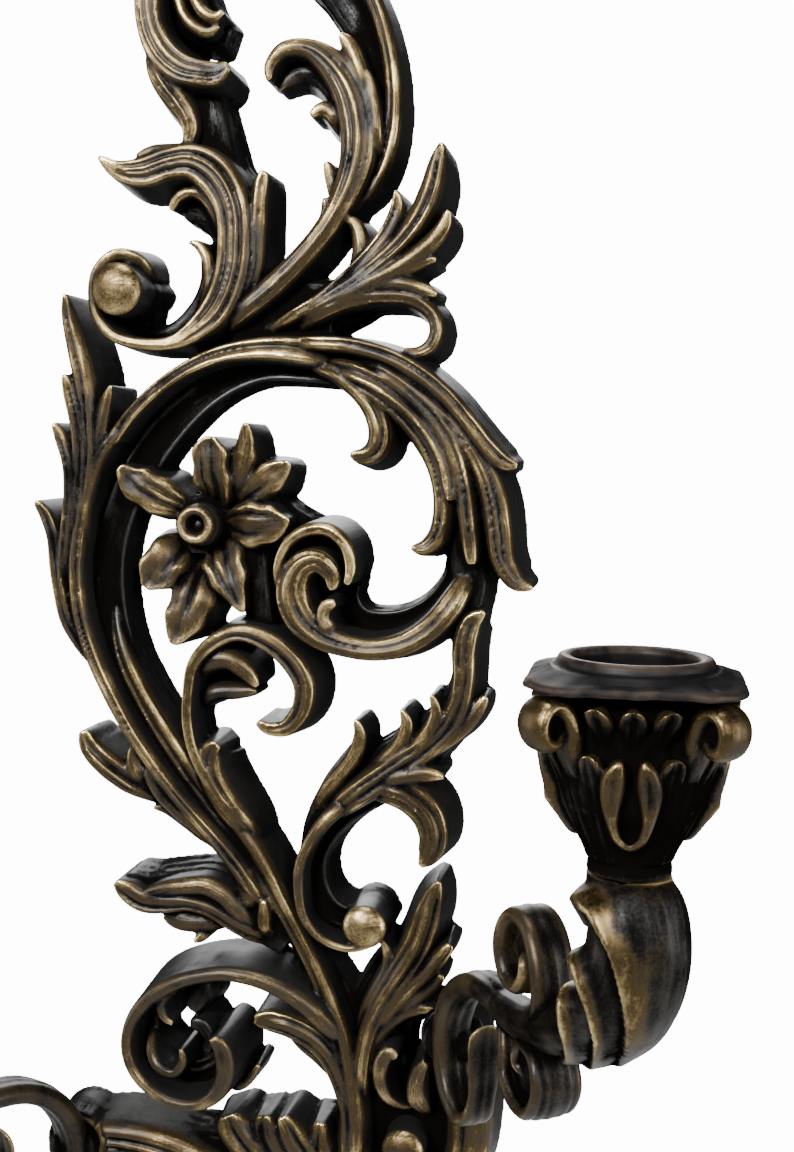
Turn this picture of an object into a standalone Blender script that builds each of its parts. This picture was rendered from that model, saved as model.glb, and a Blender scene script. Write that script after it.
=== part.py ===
"""Rococo wall sconce for two candles: an openwork moulded back plate, two curled arms and two leafy cups.

The wall is the plane y = 0, the front faces -Y and +Z is up. Every size is in millimetres until a mesh
is finished, when MM turns it into metres. The right arm and cup are modelled on the right, and the left
ones are the same shapes mirrored across MIRROR_X and set LEFT_DROP lower, as the plate isn't symmetric.
"""

import math

import bmesh
import bpy
import numpy as np
from mathutils import Matrix, Vector

MM = 0.001

# Driving dimensions
CANDLE_D = 24.0  # hole for a 7/8 inch taper candle
RIM_Z = 124.0  # top of the right candle socket
CUP_X, CUP_Y = 84.0, -90.0  # axis of the right cup
ARM_TURN = math.radians(31.2)  # plan angle between the arm and the wall's normal
MIRROR_X = -10.5
LEFT_DROP = 38.7
GAP = 0.3  # clearance between pieces that touch
ORIGIN = (14.0, 0.0, -8.0)  # place on the plate's back, in the drawing, that becomes 0, 0, 0

# Candle socket
SOCKET_WALL = 1.2
SOCKET_DEPTH = 25.0
LIP_R = 14.7
FLANGE_CORNER_R = 24.5
FLANGE_SIDE_R = 20.5
FLANGE_TURN = math.radians(-45)  # a corner of the flange, from +X
FLANGE_STEPS = 48

# Cup and the screw that holds it down on the arm
NECK_Z = 82.0
CUP_FLOOR_Z = 96.5

# Machine screws, their washers and the brass inserts they turn into
SCREW_D = 4.0
HEAD_D = 7.6
HEAD_HEIGHT = 2.6
WASHER_R = 4.4
WASHER = 0.8
INSERT_D = 6.4
CUP_HEAD_RECESS = 3.2
CUP_INSERT_LOW = 71.0

# Where an arm is screwed to the plate
ROOT_X, ROOT_Z = 40.5, 13.0
BOSS_R = 8.5
BOSS_H = 14.0
HEAD_CLEAR_R = 4.8
HEAD_DEPTH = 5.0  # counterbore for the screw's head, from the back
ARM_HOLE_END = 20.3  # how far from the wall the screw hole in the arm ends
DOWEL_D = 3.0
DOWEL_RISE = 5.2
DOWEL_BACK, DOWEL_FRONT = 9.0, 18.5

# Hanger in the back of the plate
HANGER_X, HANGER_Z = -8.0, 192.5
POCKET = (21.4, 4.5, 14.0)  # width, depth, height
POCKET_RISE = 4.0
RING_WIRE = 1.6
RING_HALF = 5.0
RING_RISE = 3.5  # of the arch's centre over the bar
STRAP = (20.6, 0.8, 4.4)  # width, thickness, height
HANGER_SCREW_X = 8.0
HANGER_SHANK, HANGER_HEAD = 2.0, 3.6
HANGER_SCREW_END = 10.0

DRAFT = 0.12  # share of a leaf's height by which each side leans in
CROWN = 0.24  # share of a leaf's width by which its middle stands over its edges
SHARP_TURN = 48.0  # degrees of bend in one span that ask for another section

# Leaves and stems of the plate, each a tapering bar along a smooth line in the wall's plane:
# name: (height at the tip, height at the root, ribs, ((x, z, width), ... from the tip)).
# Ribs 0 is a plain low web, -1 a cove, and 1 or more a crowned leaf with that many ribs.
STROKES = {
    # crest, upper left
    "crest_curl": (18, 18, 4, (
        (-20, 256, 3), (-23.5, 254.4, 6.5), (-27.5, 254.5, 7), (-33, 256, 8), (-38, 260.5, 8),
        (-41, 267, 7), (-41.5, 275, 7), (-39, 284, 7), (-33, 292, 6), (-25, 297, 5))),
    "crest_blade": (15, 18, 3, (
        (-32.6, 236, 1), (-31, 240.5, 4), (-31.5, 244.5, 5.5), (-34, 248.5, 6.5), (-37.5, 253, 6.5),
        (-40.5, 259, 5.5), (-42.3, 266, 3))),
    "crest_lobe_low": (15, 14, 1, (
        (-23.5, 266.5, 1.5), (-26.5, 265.2, 3), (-30.5, 267, 3.2), (-33.5, 271, 3), (-34.5, 277, 3),
        (-32, 284, 3), (-27, 290, 3))),
    "crest_lobe_high": (16, 15, 1, (
        (-22, 269.5, 1.5), (-25, 268.5, 3), (-28.5, 271, 3), (-30, 276, 3), (-28, 282, 3),
        (-23, 288, 3))),
    "crest_web": (10, 10, 0, (
        (-22, 265, 6), (-27, 267, 9), (-32, 272, 12), (-34, 280, 12), (-28, 289, 10), (-18, 295, 8))),
    "crest_stalk": (11, 13, 0, (
        (-28, 252, 7), (-26.5, 245, 8), (-25, 238, 9), (-23, 231, 9))),
    # main upper stem and its volute
    "s_leaf": (17, 18, 4, (
        (-54.3, 234.8, 1.5), (-49.5, 231.7, 5), (-43, 231, 8), (-36, 233, 8.5), (-29.5, 233.3, 9.5),
        (-23.5, 229.5, 11), (-19.5, 222, 10), (-18.8, 212, 9.5), (-20, 204, 9.5), (-23.5, 196.5, 9),
        (-29.5, 191, 6), (-35.7, 188.2, 3.5), (-43.7, 188.2, 3), (-50.2, 190.1, 3),
        (-54.3, 194.6, 2.8), (-55.7, 200.6, 2.4), (-54.5, 206.4, 2.6), (-49.7, 210.4, 3.4),
        (-44.5, 209.2, 4), (-41.7, 204.6, 4))),
    "s_leaf_back": (16, 16, 1, (
        (-44.5, 235, 1.5), (-40.5, 236.3, 3), (-35.5, 236.6, 3), (-30, 236.5, 3), (-24.5, 234.5, 4),
        (-19.5, 230, 4), (-16, 224, 3))),
    "s_leaf_curl": (13, 15, 1, (
        (-36.5, 222, 2), (-34.5, 225.3, 2.6), (-30.5, 226.4, 2.6), (-26.5, 224, 3), (-23.8, 219, 3),
        (-22.3, 212, 3))),
    "s_leaf_curl_web": (9, 9, 0, (
        (-34.5, 221.5, 4), (-31, 222.5, 7), (-27, 220, 6), (-24, 215, 5))),
    "stem_hook": (15, 15, 1, (
        (-31, 213.8, 1), (-28.4, 212.8, 2.5), (-26.3, 209.3, 3), (-25.8, 204, 3), (-27.3, 198.5, 3),
        (-31, 193.5, 3))),
    "stem_hook_web": (9, 9, 0, (
        (-28.5, 211, 3), (-28, 205, 4), (-30, 198, 6), (-36, 192.5, 5), (-44, 190.5, 3))),
    "rolled_stem": (16, 16, 2, (
        (-12.4, 230, 3.4), (-12.8, 225, 4.6), (-13, 216, 4.6), (-13.5, 207, 4.6), (-16.5, 199, 5),
        (-22, 192.5, 5))),
    "volute_button": (22, 22, 0, (
        (-47.7, 205.7, 7.5), (-47.7, 201.4, 12.4), (-47.7, 197.1, 7.5))),
    "volute_web": (9, 9, 0, (
        (-49, 209, 8), (-49, 202, 14), (-49, 194, 12), (-49, 190, 6))),
    # hooked acanthus, upper right
    "hook_leaf": (15, 17, 5, (
        (-10.6, 252.9, 1.6), (-10.3, 256.7, 3), (-6.8, 260.4, 4), (-0.8, 260.4, 5), (4.7, 256.9, 7.5),
        (9.2, 250.9, 9), (11.7, 243.4, 9.7), (12.1, 235.4, 9.4), (10.3, 227.9, 8), (6.7, 220.4, 6.4),
        (2.2, 213.9, 6), (-3.3, 207.9, 6), (-9.8, 201.9, 6), (-17.3, 195.9, 5), (-25.3, 189.9, 4))),
    "hook_leaf_inner": (10, 12, 1, (
        (-9.3, 251.5, 1), (-7, 254, 3), (-3, 255.8, 4.5), (2, 254.5, 6), (6, 250, 6), (8.5, 244, 4))),
    "hook_tooth_a": (15, 15, 1, (
        (7.3, 263.5, 2), (9.2, 261.3, 3.8), (11.6, 256.5, 3.8), (13.6, 250.5, 3.6), (14.8, 243, 3))),
    "hook_tooth_b": (15, 15, 1, (
        (14.2, 254.4, 1.4), (15.2, 250, 2.5), (16.5, 244, 2.6), (16.8, 237, 2.6), (15.5, 230, 2.4))),
    "hook_lobe": (13, 14, 1, (
        (-0.4, 244.6, 1.8), (2.6, 246.2, 4), (5.6, 244.4, 4.4), (8, 239.5, 4))),
    "hook_tooth_c": (14, 14, 1, (
        (4, 233.2, 2), (5, 230, 3.2), (6, 225, 3), (6, 220, 2.6))),
    "hook_tooth_d": (11, 12, 1, (
        (3, 225, 1.2), (3, 220.5, 2.4), (0.5, 214.5, 3), (-4, 208.5, 3))),
    "bead_stem": (12, 13, 2, (
        (9.2, 221, 2), (12, 223.5, 3), (15.6, 228, 4.4), (18.3, 234, 4.8), (20, 241, 4.6),
        (20.3, 249, 4.5), (19.5, 257, 4.4), (17.8, 264.5, 4.3), (15.3, 271.5, 4.2), (11.3, 278.5, 4.2),
        (5.5, 284.5, 4.2), (-2, 289.5, 4.2), (-10, 293, 4.2))),
    "bead_stem_web": (8, 8, 0, (
        (17.3, 236, 3), (17, 244, 4), (16.3, 251, 6), (14.3, 258, 7), (12, 265, 8), (8.5, 271, 9),
        (3.5, 277.5, 9), (-3, 283, 9), (-11, 288.5, 9))),
    "bud_leaf": (15, 15, 1, (
        (9.3, 219.6, 1.4), (12, 217.3, 3.4), (13.2, 212.5, 4.6), (12, 206.5, 4.4), (8.5, 201.5, 4),
        (3, 197, 3))),
    # right spray
    "spray_a": (19, 17, 2, (
        (33.7, 236.2, 1.4), (32.4, 231.5, 4.6), (31, 225.5, 6.2), (28.3, 219.3, 6.4), (23.5, 213, 5.6),
        (17, 207.3, 4.6), (9.5, 202, 4), (1, 197, 3.4), (-8, 192.5, 3))),
    "spray_b": (18, 16, 2, (
        (22.6, 225.2, 1.4), (22.6, 220.8, 3.8), (20.6, 215.8, 4.6), (16.6, 210.6, 4.4),
        (10.5, 204.8, 4), (3.5, 199.3, 3.6), (-5, 194.5, 3.2), (-14, 190.5, 3))),
    "spray_c": (19, 17, 1, (
        (35.6, 220, 1.8), (34, 215.8, 4), (30, 211.4, 4.6), (24, 207.3, 4.2), (16, 203.3, 3.8),
        (7, 198.8, 3.4), (-3, 194, 3))),
    "spray_d": (18, 17, 1, (
        (32.8, 208.8, 1.4), (28.6, 207.8, 3), (23, 205.4, 4), (16, 202, 4), (8, 198.2, 3.6),
        (-1, 194, 3.2))),
    "spray_e": (18, 17, 1, (
        (33, 200.2, 1.8), (29, 201.6, 3.4), (23.5, 203, 3.2), (17, 202, 3.2), (10, 199.2, 3.4))),
    "spray_hook": (17, 17, 2, (
        (25, 187, 1.6), (28, 186.2, 3), (31.4, 187.8, 4), (32.9, 191.8, 4), (31.3, 196.2, 4),
        (26.3, 199.3, 4), (18, 199.8, 4), (9.5, 198.2, 4), (2, 195, 4), (-6, 191.5, 4))),
    "spray_web": (11, 11, 0, (
        (31, 226, 4), (27, 217, 8), (20, 208.5, 12), (11, 201.5, 12), (1, 196, 11), (-10, 192.5, 12),
        (-20, 190, 9))),
    # ring, top and right acanthus
    "ring_crown": (17, 19, 2, (
        (-51, 163.5, 4), (-45.3, 170.6, 4), (-38.5, 176.8, 4.2), (-30.5, 182, 4.4), (-21.5, 185.6, 5),
        (-11.5, 187, 6), (-1.5, 186.6, 7), (8, 185, 8))),
    "ring_cove": (11, 11, -1, (
        (10, 181, 5), (-1, 182.3, 6), (-12, 182.3, 6), (-22, 179.3, 7), (-31, 173.5, 8),
        (-38.8, 165.8, 9), (-45, 157, 9), (-49.8, 148, 8.5), (-53, 138, 8.5), (-54, 128, 8.5),
        (-53, 118.5, 8), (-50.3, 109, 7.5), (-46, 100, 7), (-40.5, 91, 6))),
    "acanthus_top": (20, 18, 2, (
        (53.8, 159.1, 1.8), (50.3, 159.9, 4.4), (46.1, 163.8, 4.8), (41.8, 169.1, 4.6),
        (36.1, 175.5, 4.6), (29.1, 181.1, 4.6), (21, 185.3, 4.6), (11, 187.9, 4), (-0.5, 188.5, 3.4),
        (-10.5, 188.3, 2.6))),
    "acanthus_right": (20, 18, 3, (
        (58.2, 129.3, 1.4), (53.8, 131.1, 5), (50.6, 136.5, 6.4), (49.4, 143.7, 7), (48.2, 150.7, 7),
        (45.7, 157.7, 6.4), (41.7, 164.5, 6), (36.2, 171, 6), (28.9, 177.2, 6), (20.4, 182.3, 5),
        (10.4, 185.5, 4))),
    "acanthus_mid": (20, 18, 2, (
        (43.2, 134.8, 2.4), (42.6, 139.8, 4.4), (41.6, 147, 5), (40.3, 155, 5), (37.8, 163, 5),
        (33.5, 170, 5), (27, 176.3, 5), (19, 181.5, 5), (9, 184.3, 4))),
    "acanthus_bud": (20, 18, 2, (
        (37.6, 150.3, 2.6), (37.4, 154.5, 4.2), (35.8, 160.6, 4.6), (32.4, 166.8, 4.8), (27, 172.8, 5),
        (19.5, 178.3, 5), (11, 182, 5), (2, 184.3, 4))),
    "acanthus_left": (18, 17, 2, (
        (27.8, 138.4, 1.4), (31, 138.2, 4.2), (34.2, 141.4, 5.4), (35.4, 147.5, 5.4), (34.6, 154.5, 5),
        (32, 161.5, 5), (27.6, 168, 5), (21, 174, 5), (13, 179, 5), (4, 182, 4))),
    "acanthus_hook": (17, 17, 2, (
        (11.8, 161.2, 1.8), (15, 160.6, 4.8), (18.2, 162.6, 6.2), (19, 167.3, 6.4), (17, 172.8, 6),
        (12.8, 177.6, 5.4), (6.5, 181.6, 4.6), (-2, 184, 4))),
    "acanthus_web": (13, 13, 0, (
        (44, 132, 8), (43.5, 140, 14), (43, 148, 17), (40, 157, 17), (35, 166, 16), (27, 174.5, 14),
        (16, 181, 11))),
    # left fronds on the ring
    "frond_a": (20, 17, 2, (
        (-62.2, 200.4, 1.4), (-61.6, 194.5, 4.2), (-59.8, 186.5, 5.8), (-58, 178.5, 6.2),
        (-57.2, 170, 5.4), (-56.8, 161, 5), (-57.8, 152, 4.6), (-59.2, 142, 4.4), (-59.8, 131, 4))),
    "frond_b": (18, 17, 1, (
        (-50.5, 177.6, 1), (-52.2, 173.6, 3.2), (-53.7, 168, 4), (-55.2, 161, 4), (-56.8, 153, 3.4),
        (-58.4, 143, 3))),
    "frond_c": (19, 17, 2, (
        (-63, 180.2, 1.8), (-61.7, 175.2, 4), (-60, 168, 4.6), (-59.4, 160, 4.6), (-60, 150, 4.4),
        (-61.4, 140, 4.2), (-62, 129, 4))),
    "frond_d": (18, 17, 2, (
        (-66.2, 167.8, 1.8), (-64.2, 163.2, 4), (-62.4, 157, 4.2), (-62.2, 149, 4.2),
        (-63.2, 140, 4.2), (-63.8, 131, 4), (-63.2, 121, 3.6))),
    "frond_e": (17, 16, 2, (
        (-71.8, 147.6, 1.8), (-69.2, 143.8, 3.8), (-67.2, 138.2, 4.2), (-66.6, 131, 4.2),
        (-65.6, 124, 4), (-63.6, 116, 4), (-58.2, 107.5, 3.6), (-53, 99.5, 3))),
    "outer_stem": (17, 18, 1, (
        (-49.5, 166, 3), (-54.5, 158.5, 3.6), (-57.8, 149, 4), (-60, 139, 4.4), (-60.8, 129, 4.6),
        (-59.8, 119, 4.8), (-56.8, 109, 4.8), (-52.4, 99.5, 4.6), (-47, 90, 4.4), (-41.2, 81.8, 4.2),
        (-35.4, 74.6, 4.2), (-29.2, 67.8, 4.6), (-22.8, 61.2, 5), (-16.8, 54.5, 5), (-12, 47.5, 4.4),
        (-7, 40, 3.6))),
    "inner_stem": (13, 18, 2, (
        (-53.5, 128, 4), (-52.4, 118, 5), (-49.6, 108.5, 6), (-45.3, 99.5, 6), (-39.8, 90.5, 6.2),
        (-33.6, 81.8, 6.4), (-27.4, 74, 6.6), (-21, 66.8, 7), (-14.8, 59.6, 7.4), (-9.8, 52.4, 7),
        (-5.6, 45, 6), (-1, 37.4, 5.4), (3.2, 29.6, 5.2), (7, 21.4, 5.4), (10.2, 13, 6),
        (12.6, 4, 6.4), (14.2, -6, 7), (14.8, -16, 7.6), (13, -28, 8))),
    # flower
    "petal_left": (17, 15, 3, (
        (-48.8, 157, 2), (-45.6, 153.4, 6.8), (-40.2, 150.2, 8.6), (-35, 147.2, 7.4), (-31, 144.6, 5))),
    "petal_top": (18, 16, 3, (
        (-24.3, 165, 3), (-24.6, 161.6, 6.8), (-24.5, 156, 7.6), (-24, 151, 8.4), (-25, 146.6, 6))),
    "petal_blade": (17, 14, 1, (
        (-15.3, 168.6, 1.2), (-15.7, 163.3, 4), (-17, 157, 5), (-18.7, 151, 5), (-22, 146.6, 4))),
    "petal_corner": (17, 14, 2, (
        (-3.6, 158.8, 1.2), (-6.8, 156.4, 4.6), (-11, 153.4, 6), (-15.8, 150.2, 5.4), (-21, 146, 4))),
    "petal_right": (18, 16, 3, (
        (-3.4, 144.4, 1.6), (-7, 143.4, 7), (-12.5, 143, 10.4), (-18, 143, 9.6), (-23, 142.8, 6))),
    "petal_low_right": (17, 15, 3, (
        (-15.5, 120.4, 1), (-18.2, 125.6, 5.6), (-20.6, 130.8, 9.6), (-22.8, 135.6, 10.4),
        (-25.8, 140, 6))),
    "petal_low": (16, 13, 2, (
        (-34.4, 111.2, 2), (-33.2, 115, 7), (-31.2, 120, 9.6), (-29.4, 126, 9.6), (-28.2, 134, 7))),
    "petal_low_left": (15, 13, 2, (
        (-42.6, 125.6, 3), (-39.8, 129.6, 9.4), (-36.4, 134.2, 10.4), (-31.5, 139, 8))),
    "flower_hub": (13, 13, 0, (
        (-28, 150, 6), (-28, 142.4, 15), (-28, 135, 6))),
    "flower_stem": (12, 12, 0, (
        (-17, 146, 6), (-14.5, 137, 7), (-13.2, 128, 7), (-12.6, 117, 8))),
    "flower_tie": (10, 10, 0, (
        (-9, 147, 6), (-4, 143, 7), (1, 140, 8))),
    # comma volute
    "comma_rim": (21, 18, 1, (
        (12.3, 128.8, 1.8), (13, 133.4, 3), (11.4, 138.8, 3.5), (7, 142.2, 3.6), (1.3, 142, 3.3),
        (-3.6, 138.6, 2.6), (-6.2, 133, 2.2), (-6.4, 127, 1.8), (-4.8, 121, 1.6))),
    "comma_body": (18, 19, 4, (
        (8, 127, 1.6), (7.4, 131.2, 4), (3.6, 134.2, 5), (-0.8, 132.2, 6), (-2.8, 126.4, 6.8),
        (-0.8, 120.2, 7), (4.4, 115.6, 6), (11, 113.2, 4.8), (18, 112.4, 4.6), (25, 113.6, 4.8),
        (31, 116.8, 5), (36, 121.6, 5), (39.8, 127.8, 4.8), (41.8, 134.6, 4))),
    "comma_eye": (19, 19, 1, (
        (9, 124, 1.2), (6.6, 123, 1.9), (5.8, 120.2, 2), (7.4, 117.2, 2.2), (11, 115.4, 2))),
    "comma_cove": (9, 9, -1, (
        (38.4, 136, 6), (37.2, 129.6, 6), (32.4, 123.2, 6), (26, 119.4, 6), (19.4, 118.2, 6),
        (13.6, 119.2, 6), (9.6, 123, 7), (6, 129, 12), (1, 133.5, 10))),
    "comma_tie": (14, 14, 0, (
        (42, 142, 10), (42, 134, 9.5), (42.2, 127, 8), (41.5, 120, 6))),
    # curl under the flower
    "curl_rim": (18, 18, 1, (
        (-11.4, 92.6, 1.8), (-8.4, 90.9, 3.4), (-3.6, 91.4, 4.6), (0, 95.8, 5.6), (0.8, 102, 6),
        (-1.8, 107.4, 6.2), (-7, 112.2, 5.8), (-13.6, 115, 5), (-19.1, 114.7, 4.4), (-24.9, 111.2, 4),
        (-28.7, 106.2, 3.4), (-29.9, 99.5, 3), (-30.1, 92.5, 3), (-28.9, 85.5, 3), (-25.9, 78.8, 3),
        (-21.7, 72.4, 3), (-16.7, 66, 3), (-12.6, 59.4, 3))),
    "curl_leaf": (16, 16, 1, (
        (-11.8, 101.4, 1.2), (-15, 105, 3.4), (-19.8, 107.9, 3.7), (-25, 107.2, 3.7),
        (-29, 103.8, 3.4), (-31, 98.5, 2.4))),
    "curl_leaf_low": (12, 13, 1, (
        (-13, 99.6, 1), (-18, 99, 2.6), (-24, 98.6, 3), (-28.4, 96.2, 3), (-30.8, 92, 2.4))),
    "curl_web": (8, 8, 0, (
        (-14, 100.5, 3), (-20, 103, 8), (-26.5, 102, 9), (-30, 96, 5), (-30.5, 88, 3))),
    "stem_leaf": (18, 17, 2, (
        (-21.8, 86.2, 2), (-24, 83.6, 4.6), (-24, 78.4, 5.4), (-20.8, 72, 5.6), (-16.2, 65.4, 5.2),
        (-11, 58, 5))),
    # lower left of the trunk
    "low_leaf": (16, 16, 2, (
        (-59.4, 87.4, 2.4), (-57.6, 82.8, 5), (-53.2, 78.6, 6), (-47.8, 75, 6), (-42.4, 71.6, 5),
        (-36.6, 67.4, 4))),
    "bud_a": (16, 16, 1, (
        (-44.6, 85, 1.8), (-45.2, 80.4, 4), (-43.8, 75.6, 3.8), (-40.6, 71.6, 3))),
    "bud_b": (17, 17, 1, (
        (-39.6, 80.4, 2.4), (-39.8, 76.6, 4.2), (-37.2, 72, 4), (-32.6, 67.6, 3.6), (-26.6, 63, 3.4),
        (-20, 57.8, 3.2), (-14.6, 52, 3))),
    "thorn_leaf": (14, 15, 1, (
        (-40.4, 67.6, 1.2), (-36.6, 67.2, 3), (-31, 63.8, 3.2), (-25, 59.6, 3.2), (-19, 55, 3))),
    "trunk_web": (10, 10, 0, (
        (-60, 118, 6), (-55, 106, 9), (-46, 92, 10), (-36, 78, 11), (-25, 66, 12), (-14, 54, 11),
        (-5, 41, 9), (3, 28, 9), (10, 14, 12), (14, 0, 12), (16, -14, 14), (14, -28, 14))),
    # left spray
    "left_spray_top": (18, 18, 1, (
        (-41.4, 45.4, 1.6), (-36.4, 46.8, 3), (-30.4, 47.9, 3.6), (-25, 48.3, 4), (-20.4, 46.4, 4),
        (-16.8, 42.8, 3.6), (-13.4, 38.4, 3), (-9, 33.5, 3))),
    "left_spray_main": (18, 17, 2, (
        (-49.6, 48, 1.6), (-46.6, 45.5, 4.4), (-42, 43.2, 5), (-36.2, 42.8, 4), (-30, 43.4, 3.2),
        (-24, 42.2, 3.2), (-18.4, 39.2, 3.2), (-12.8, 35.8, 3.2), (-6, 31.8, 3))),
    "left_spray_web": (14, 14, 0, (
        (-48, 48.2, 3), (-42, 45.8, 6), (-35, 45.8, 8), (-27, 46.2, 9), (-19, 42.7, 9), (-12, 38.2, 9),
        (-4, 33.2, 7))),
    "left_spray_low": (16, 16, 1, (
        (-36.8, 39.2, 1.6), (-33.4, 38, 3.8), (-28.4, 37.8, 4.2), (-22.4, 38.4, 4), (-16.4, 38.2, 3.4))),
    "left_spray_curl": (17, 15, 1, (
        (-28.2, 33.2, 1.6), (-26.4, 34.4, 3), (-24.4, 37.2, 3.2))),
    "bud_c": (17, 17, 1, (
        (-13.8, 53.6, 2.6), (-14, 49.4, 5), (-13.8, 44.6, 4.8), (-12.6, 39.6, 3.6))),
    "bud_d": (17, 17, 1, (
        (-9.4, 45.6, 1.8), (-9.4, 42, 3.6), (-9.2, 38, 3.4), (-7.4, 33.6, 3))),
    # big lower scroll
    "scroll_rim": (24, 20, 1, (
        (-20.7, 10.1, 1.8), (-18.1, 7, 3.6), (-17.2, 1.3, 4), (-19.1, -4, 3.8), (-23.6, -7.6, 3.4),
        (-29.5, -8.6, 3.2), (-35.4, -7, 3), (-40.3, -3.8, 3), (-43.7, 0.7, 3), (-44.9, 6.2, 3),
        (-43.7, 11.9, 3.4), (-40.7, 16.6, 4), (-36.4, 20.5, 4.4), (-30.9, 23.7, 4), (-25, 25.6, 3.8),
        (-19.1, 26.6, 3.8), (-13.2, 26.3, 4.2), (-7.3, 24.9, 4.6), (-1.4, 22.3, 5), (4.1, 18.6, 5),
        (8.8, 13.3, 5), (12.7, 6.4, 5))),
    "scroll_inner": (21, 20, 1, (
        (-32.5, 12.3, 1.6), (-35.2, 14, 2.4), (-35.8, 17.6, 2.6), (-32.9, 21.3, 2.6), (-28, 23.7, 2.4))),
    "scroll_petal": (14, 14, 0, (
        (-25.2, 21.5, 3), (-27, 17.8, 6), (-29.9, 13.7, 5))),
    "scroll_tail": (20, 20, 1, (
        (-30.5, 5.2, 1.6), (-30.1, 1.5, 2.6), (-32.5, -1.5, 3), (-36.2, -0.7, 3.4), (-39.4, 2.9, 3.4),
        (-41.1, 7.8, 3))),
    "scroll_pad": (15, 15, 0, (
        (-29.7, 10.3, 3), (-26.6, 9.9, 4.6), (-24.2, 6.6, 3.6), (-25, 2.9, 3))),
    "scroll_basin": (13, 13, 3, (
        (-41.7, 10.7, 5), (-40.7, 2.9, 7), (-35.8, -2.1, 8), (-28.9, -4, 9), (-23, -1.6, 8),
        (-20.1, 3.8, 6))),
    "scroll_foot": (14, 14, 1, (
        (-10.9, 0.3, 1.6), (-14.2, -4.6, 2.6), (-18.1, -7.2, 3), (-21.1, -9.9, 3))),
    # leaf left of the boss
    "side_leaf": (17, 17, 3, (
        (-11.8, 13.6, 3), (-7.6, 13.4, 6.2), (-2, 12.4, 7), (4, 9.6, 7), (8.8, 5, 7), (12.4, -2, 7),
        (14.4, -10, 6.6), (14.6, -20, 6.6))),
    "side_leaf_low": (15, 15, 1, (
        (-2.3, 9.7, 1.8), (1.1, 7.1, 4), (5.7, 4.1, 5), (10.1, -0.5, 5), (12.7, -7.3, 5))),
    # right branch
    "branch_main": (17, 18, 3, (
        (46.3, 123, 1.4), (42.8, 119.6, 5.6), (41.3, 113.2, 6.4), (41.4, 106, 6), (40.2, 99, 6),
        (36.6, 92.4, 6.6), (31, 87, 7.4), (24.6, 82.2, 8), (17.8, 77.2, 7.6), (11, 71.8, 6.6),
        (5.6, 65.6, 5))),
    "branch_rim": (20, 18, 1, (
        (21.2, 38.6, 1.4), (18, 36.7, 1.8), (13.6, 35.7, 2), (8.4, 36.8, 2.2), (4.4, 39.4, 2.4),
        (1.6, 43.4, 2.6), (0.4, 49, 2.8), (0.4, 55.4, 3), (2.6, 61.4, 3.2), (6, 66.8, 3.6),
        (11, 71.8, 4), (17, 76.2, 4))),
    "branch_cove": (13, 13, -1, (
        (16.6, 41.6, 6), (11, 41.6, 6), (6, 44.6, 6.4), (3, 50.6, 6.8), (3.2, 57.8, 6.8),
        (6.4, 64.2, 6.6), (11.6, 69.6, 6.4), (18, 73.6, 6))),
    "branch_ball": (19, 19, 0, (
        (17.7, 45, 5.4), (17.7, 41.5, 9.4), (17.7, 38, 5.4))),
    "branch_lobe_a": (16, 16, 1, (
        (14, 94.2, 1.6), (15.1, 90, 3.4), (13.6, 84.6, 4.2), (9.6, 79, 4.4), (5, 72.8, 4.2), (2, 66, 4))),
    "branch_lobe_b": (17, 17, 1, (
        (26, 97.6, 1.4), (27.3, 93.6, 3.4), (26, 89, 4.2), (22, 84, 4.4), (15.8, 78.6, 4.4))),
    "branch_lobe_c": (18, 17, 1, (
        (33.6, 101.8, 1.4), (34.8, 97.2, 3), (33, 91.8, 4.2), (29, 87, 4.6), (22.6, 81.6, 4.4))),
    "branch_lobe_d": (16, 17, 1, (
        (47.2, 101.6, 1.8), (45, 98.4, 4), (41.4, 94, 5), (36.4, 89.6, 4.8), (30, 85.4, 4.6),
        (23, 80.8, 4.4))),
    "branch_web": (12, 12, 0, (
        (41.4, 112, 5), (40.4, 100, 8), (34, 90, 10), (24, 82, 12), (13, 75.5, 11), (4.5, 67, 8),
        (1, 57, 5))),
    "hanging_curl": (17, 18, 4, (
        (31.4, 57.6, 1.8), (33.4, 60.4, 6), (34.5, 65.4, 8), (32.4, 71.2, 8.8), (26.6, 75.6, 8.6),
        (19.6, 76.2, 7.4), (13, 73.6, 6))),
    "hanging_lobe": (18, 17, 1, (
        (37.2, 81.2, 1.6), (33, 81.4, 4), (27, 80.6, 5), (21, 78.4, 5.4), (14.6, 74.6, 5))),
    # fan at the right arm
    "fan_a": (18, 17, 3, (
        (36.4, 54.4, 1.8), (34.8, 49.6, 5.6), (33, 43.6, 7.6), (30.8, 37, 8), (27.4, 30.4, 7.4),
        (23.4, 24, 6.2), (20, 17, 5.4), (17.8, 9, 4.6), (16.8, 0, 4.4), (16.6, -10, 4.4))),
    "fan_b": (17, 17, 1, (
        (39.7, 37.8, 2.2), (37, 34.4, 4), (33.4, 29.8, 4.4), (29, 25, 4.6), (24.2, 19.4, 4.4),
        (20.4, 13, 4), (18.4, 5, 3.6))),
    "fan_c": (16, 16, 1, (
        (37.8, 29.2, 1.8), (34.6, 26.4, 4.4), (30.2, 22.4, 5), (25.4, 17.4, 4.6), (21.6, 11.4, 4))),
    "fan_d": (16, 16, 1, (
        (35.8, 20, 1.8), (31.6, 19.8, 3), (27, 18, 4), (23, 14.4, 4.2), (20, 9, 4.2), (18, 2, 4),
        (17.4, -6, 4))),
    "fan_e": (16, 16, 1, (
        (21.6, 37.4, 1.2), (23.4, 33.4, 3), (23, 28.6, 4), (20.2, 23, 4), (17.2, 16, 3.6),
        (15.6, 8, 3.4))),
    "fan_web": (9, 9, 0, (
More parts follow.
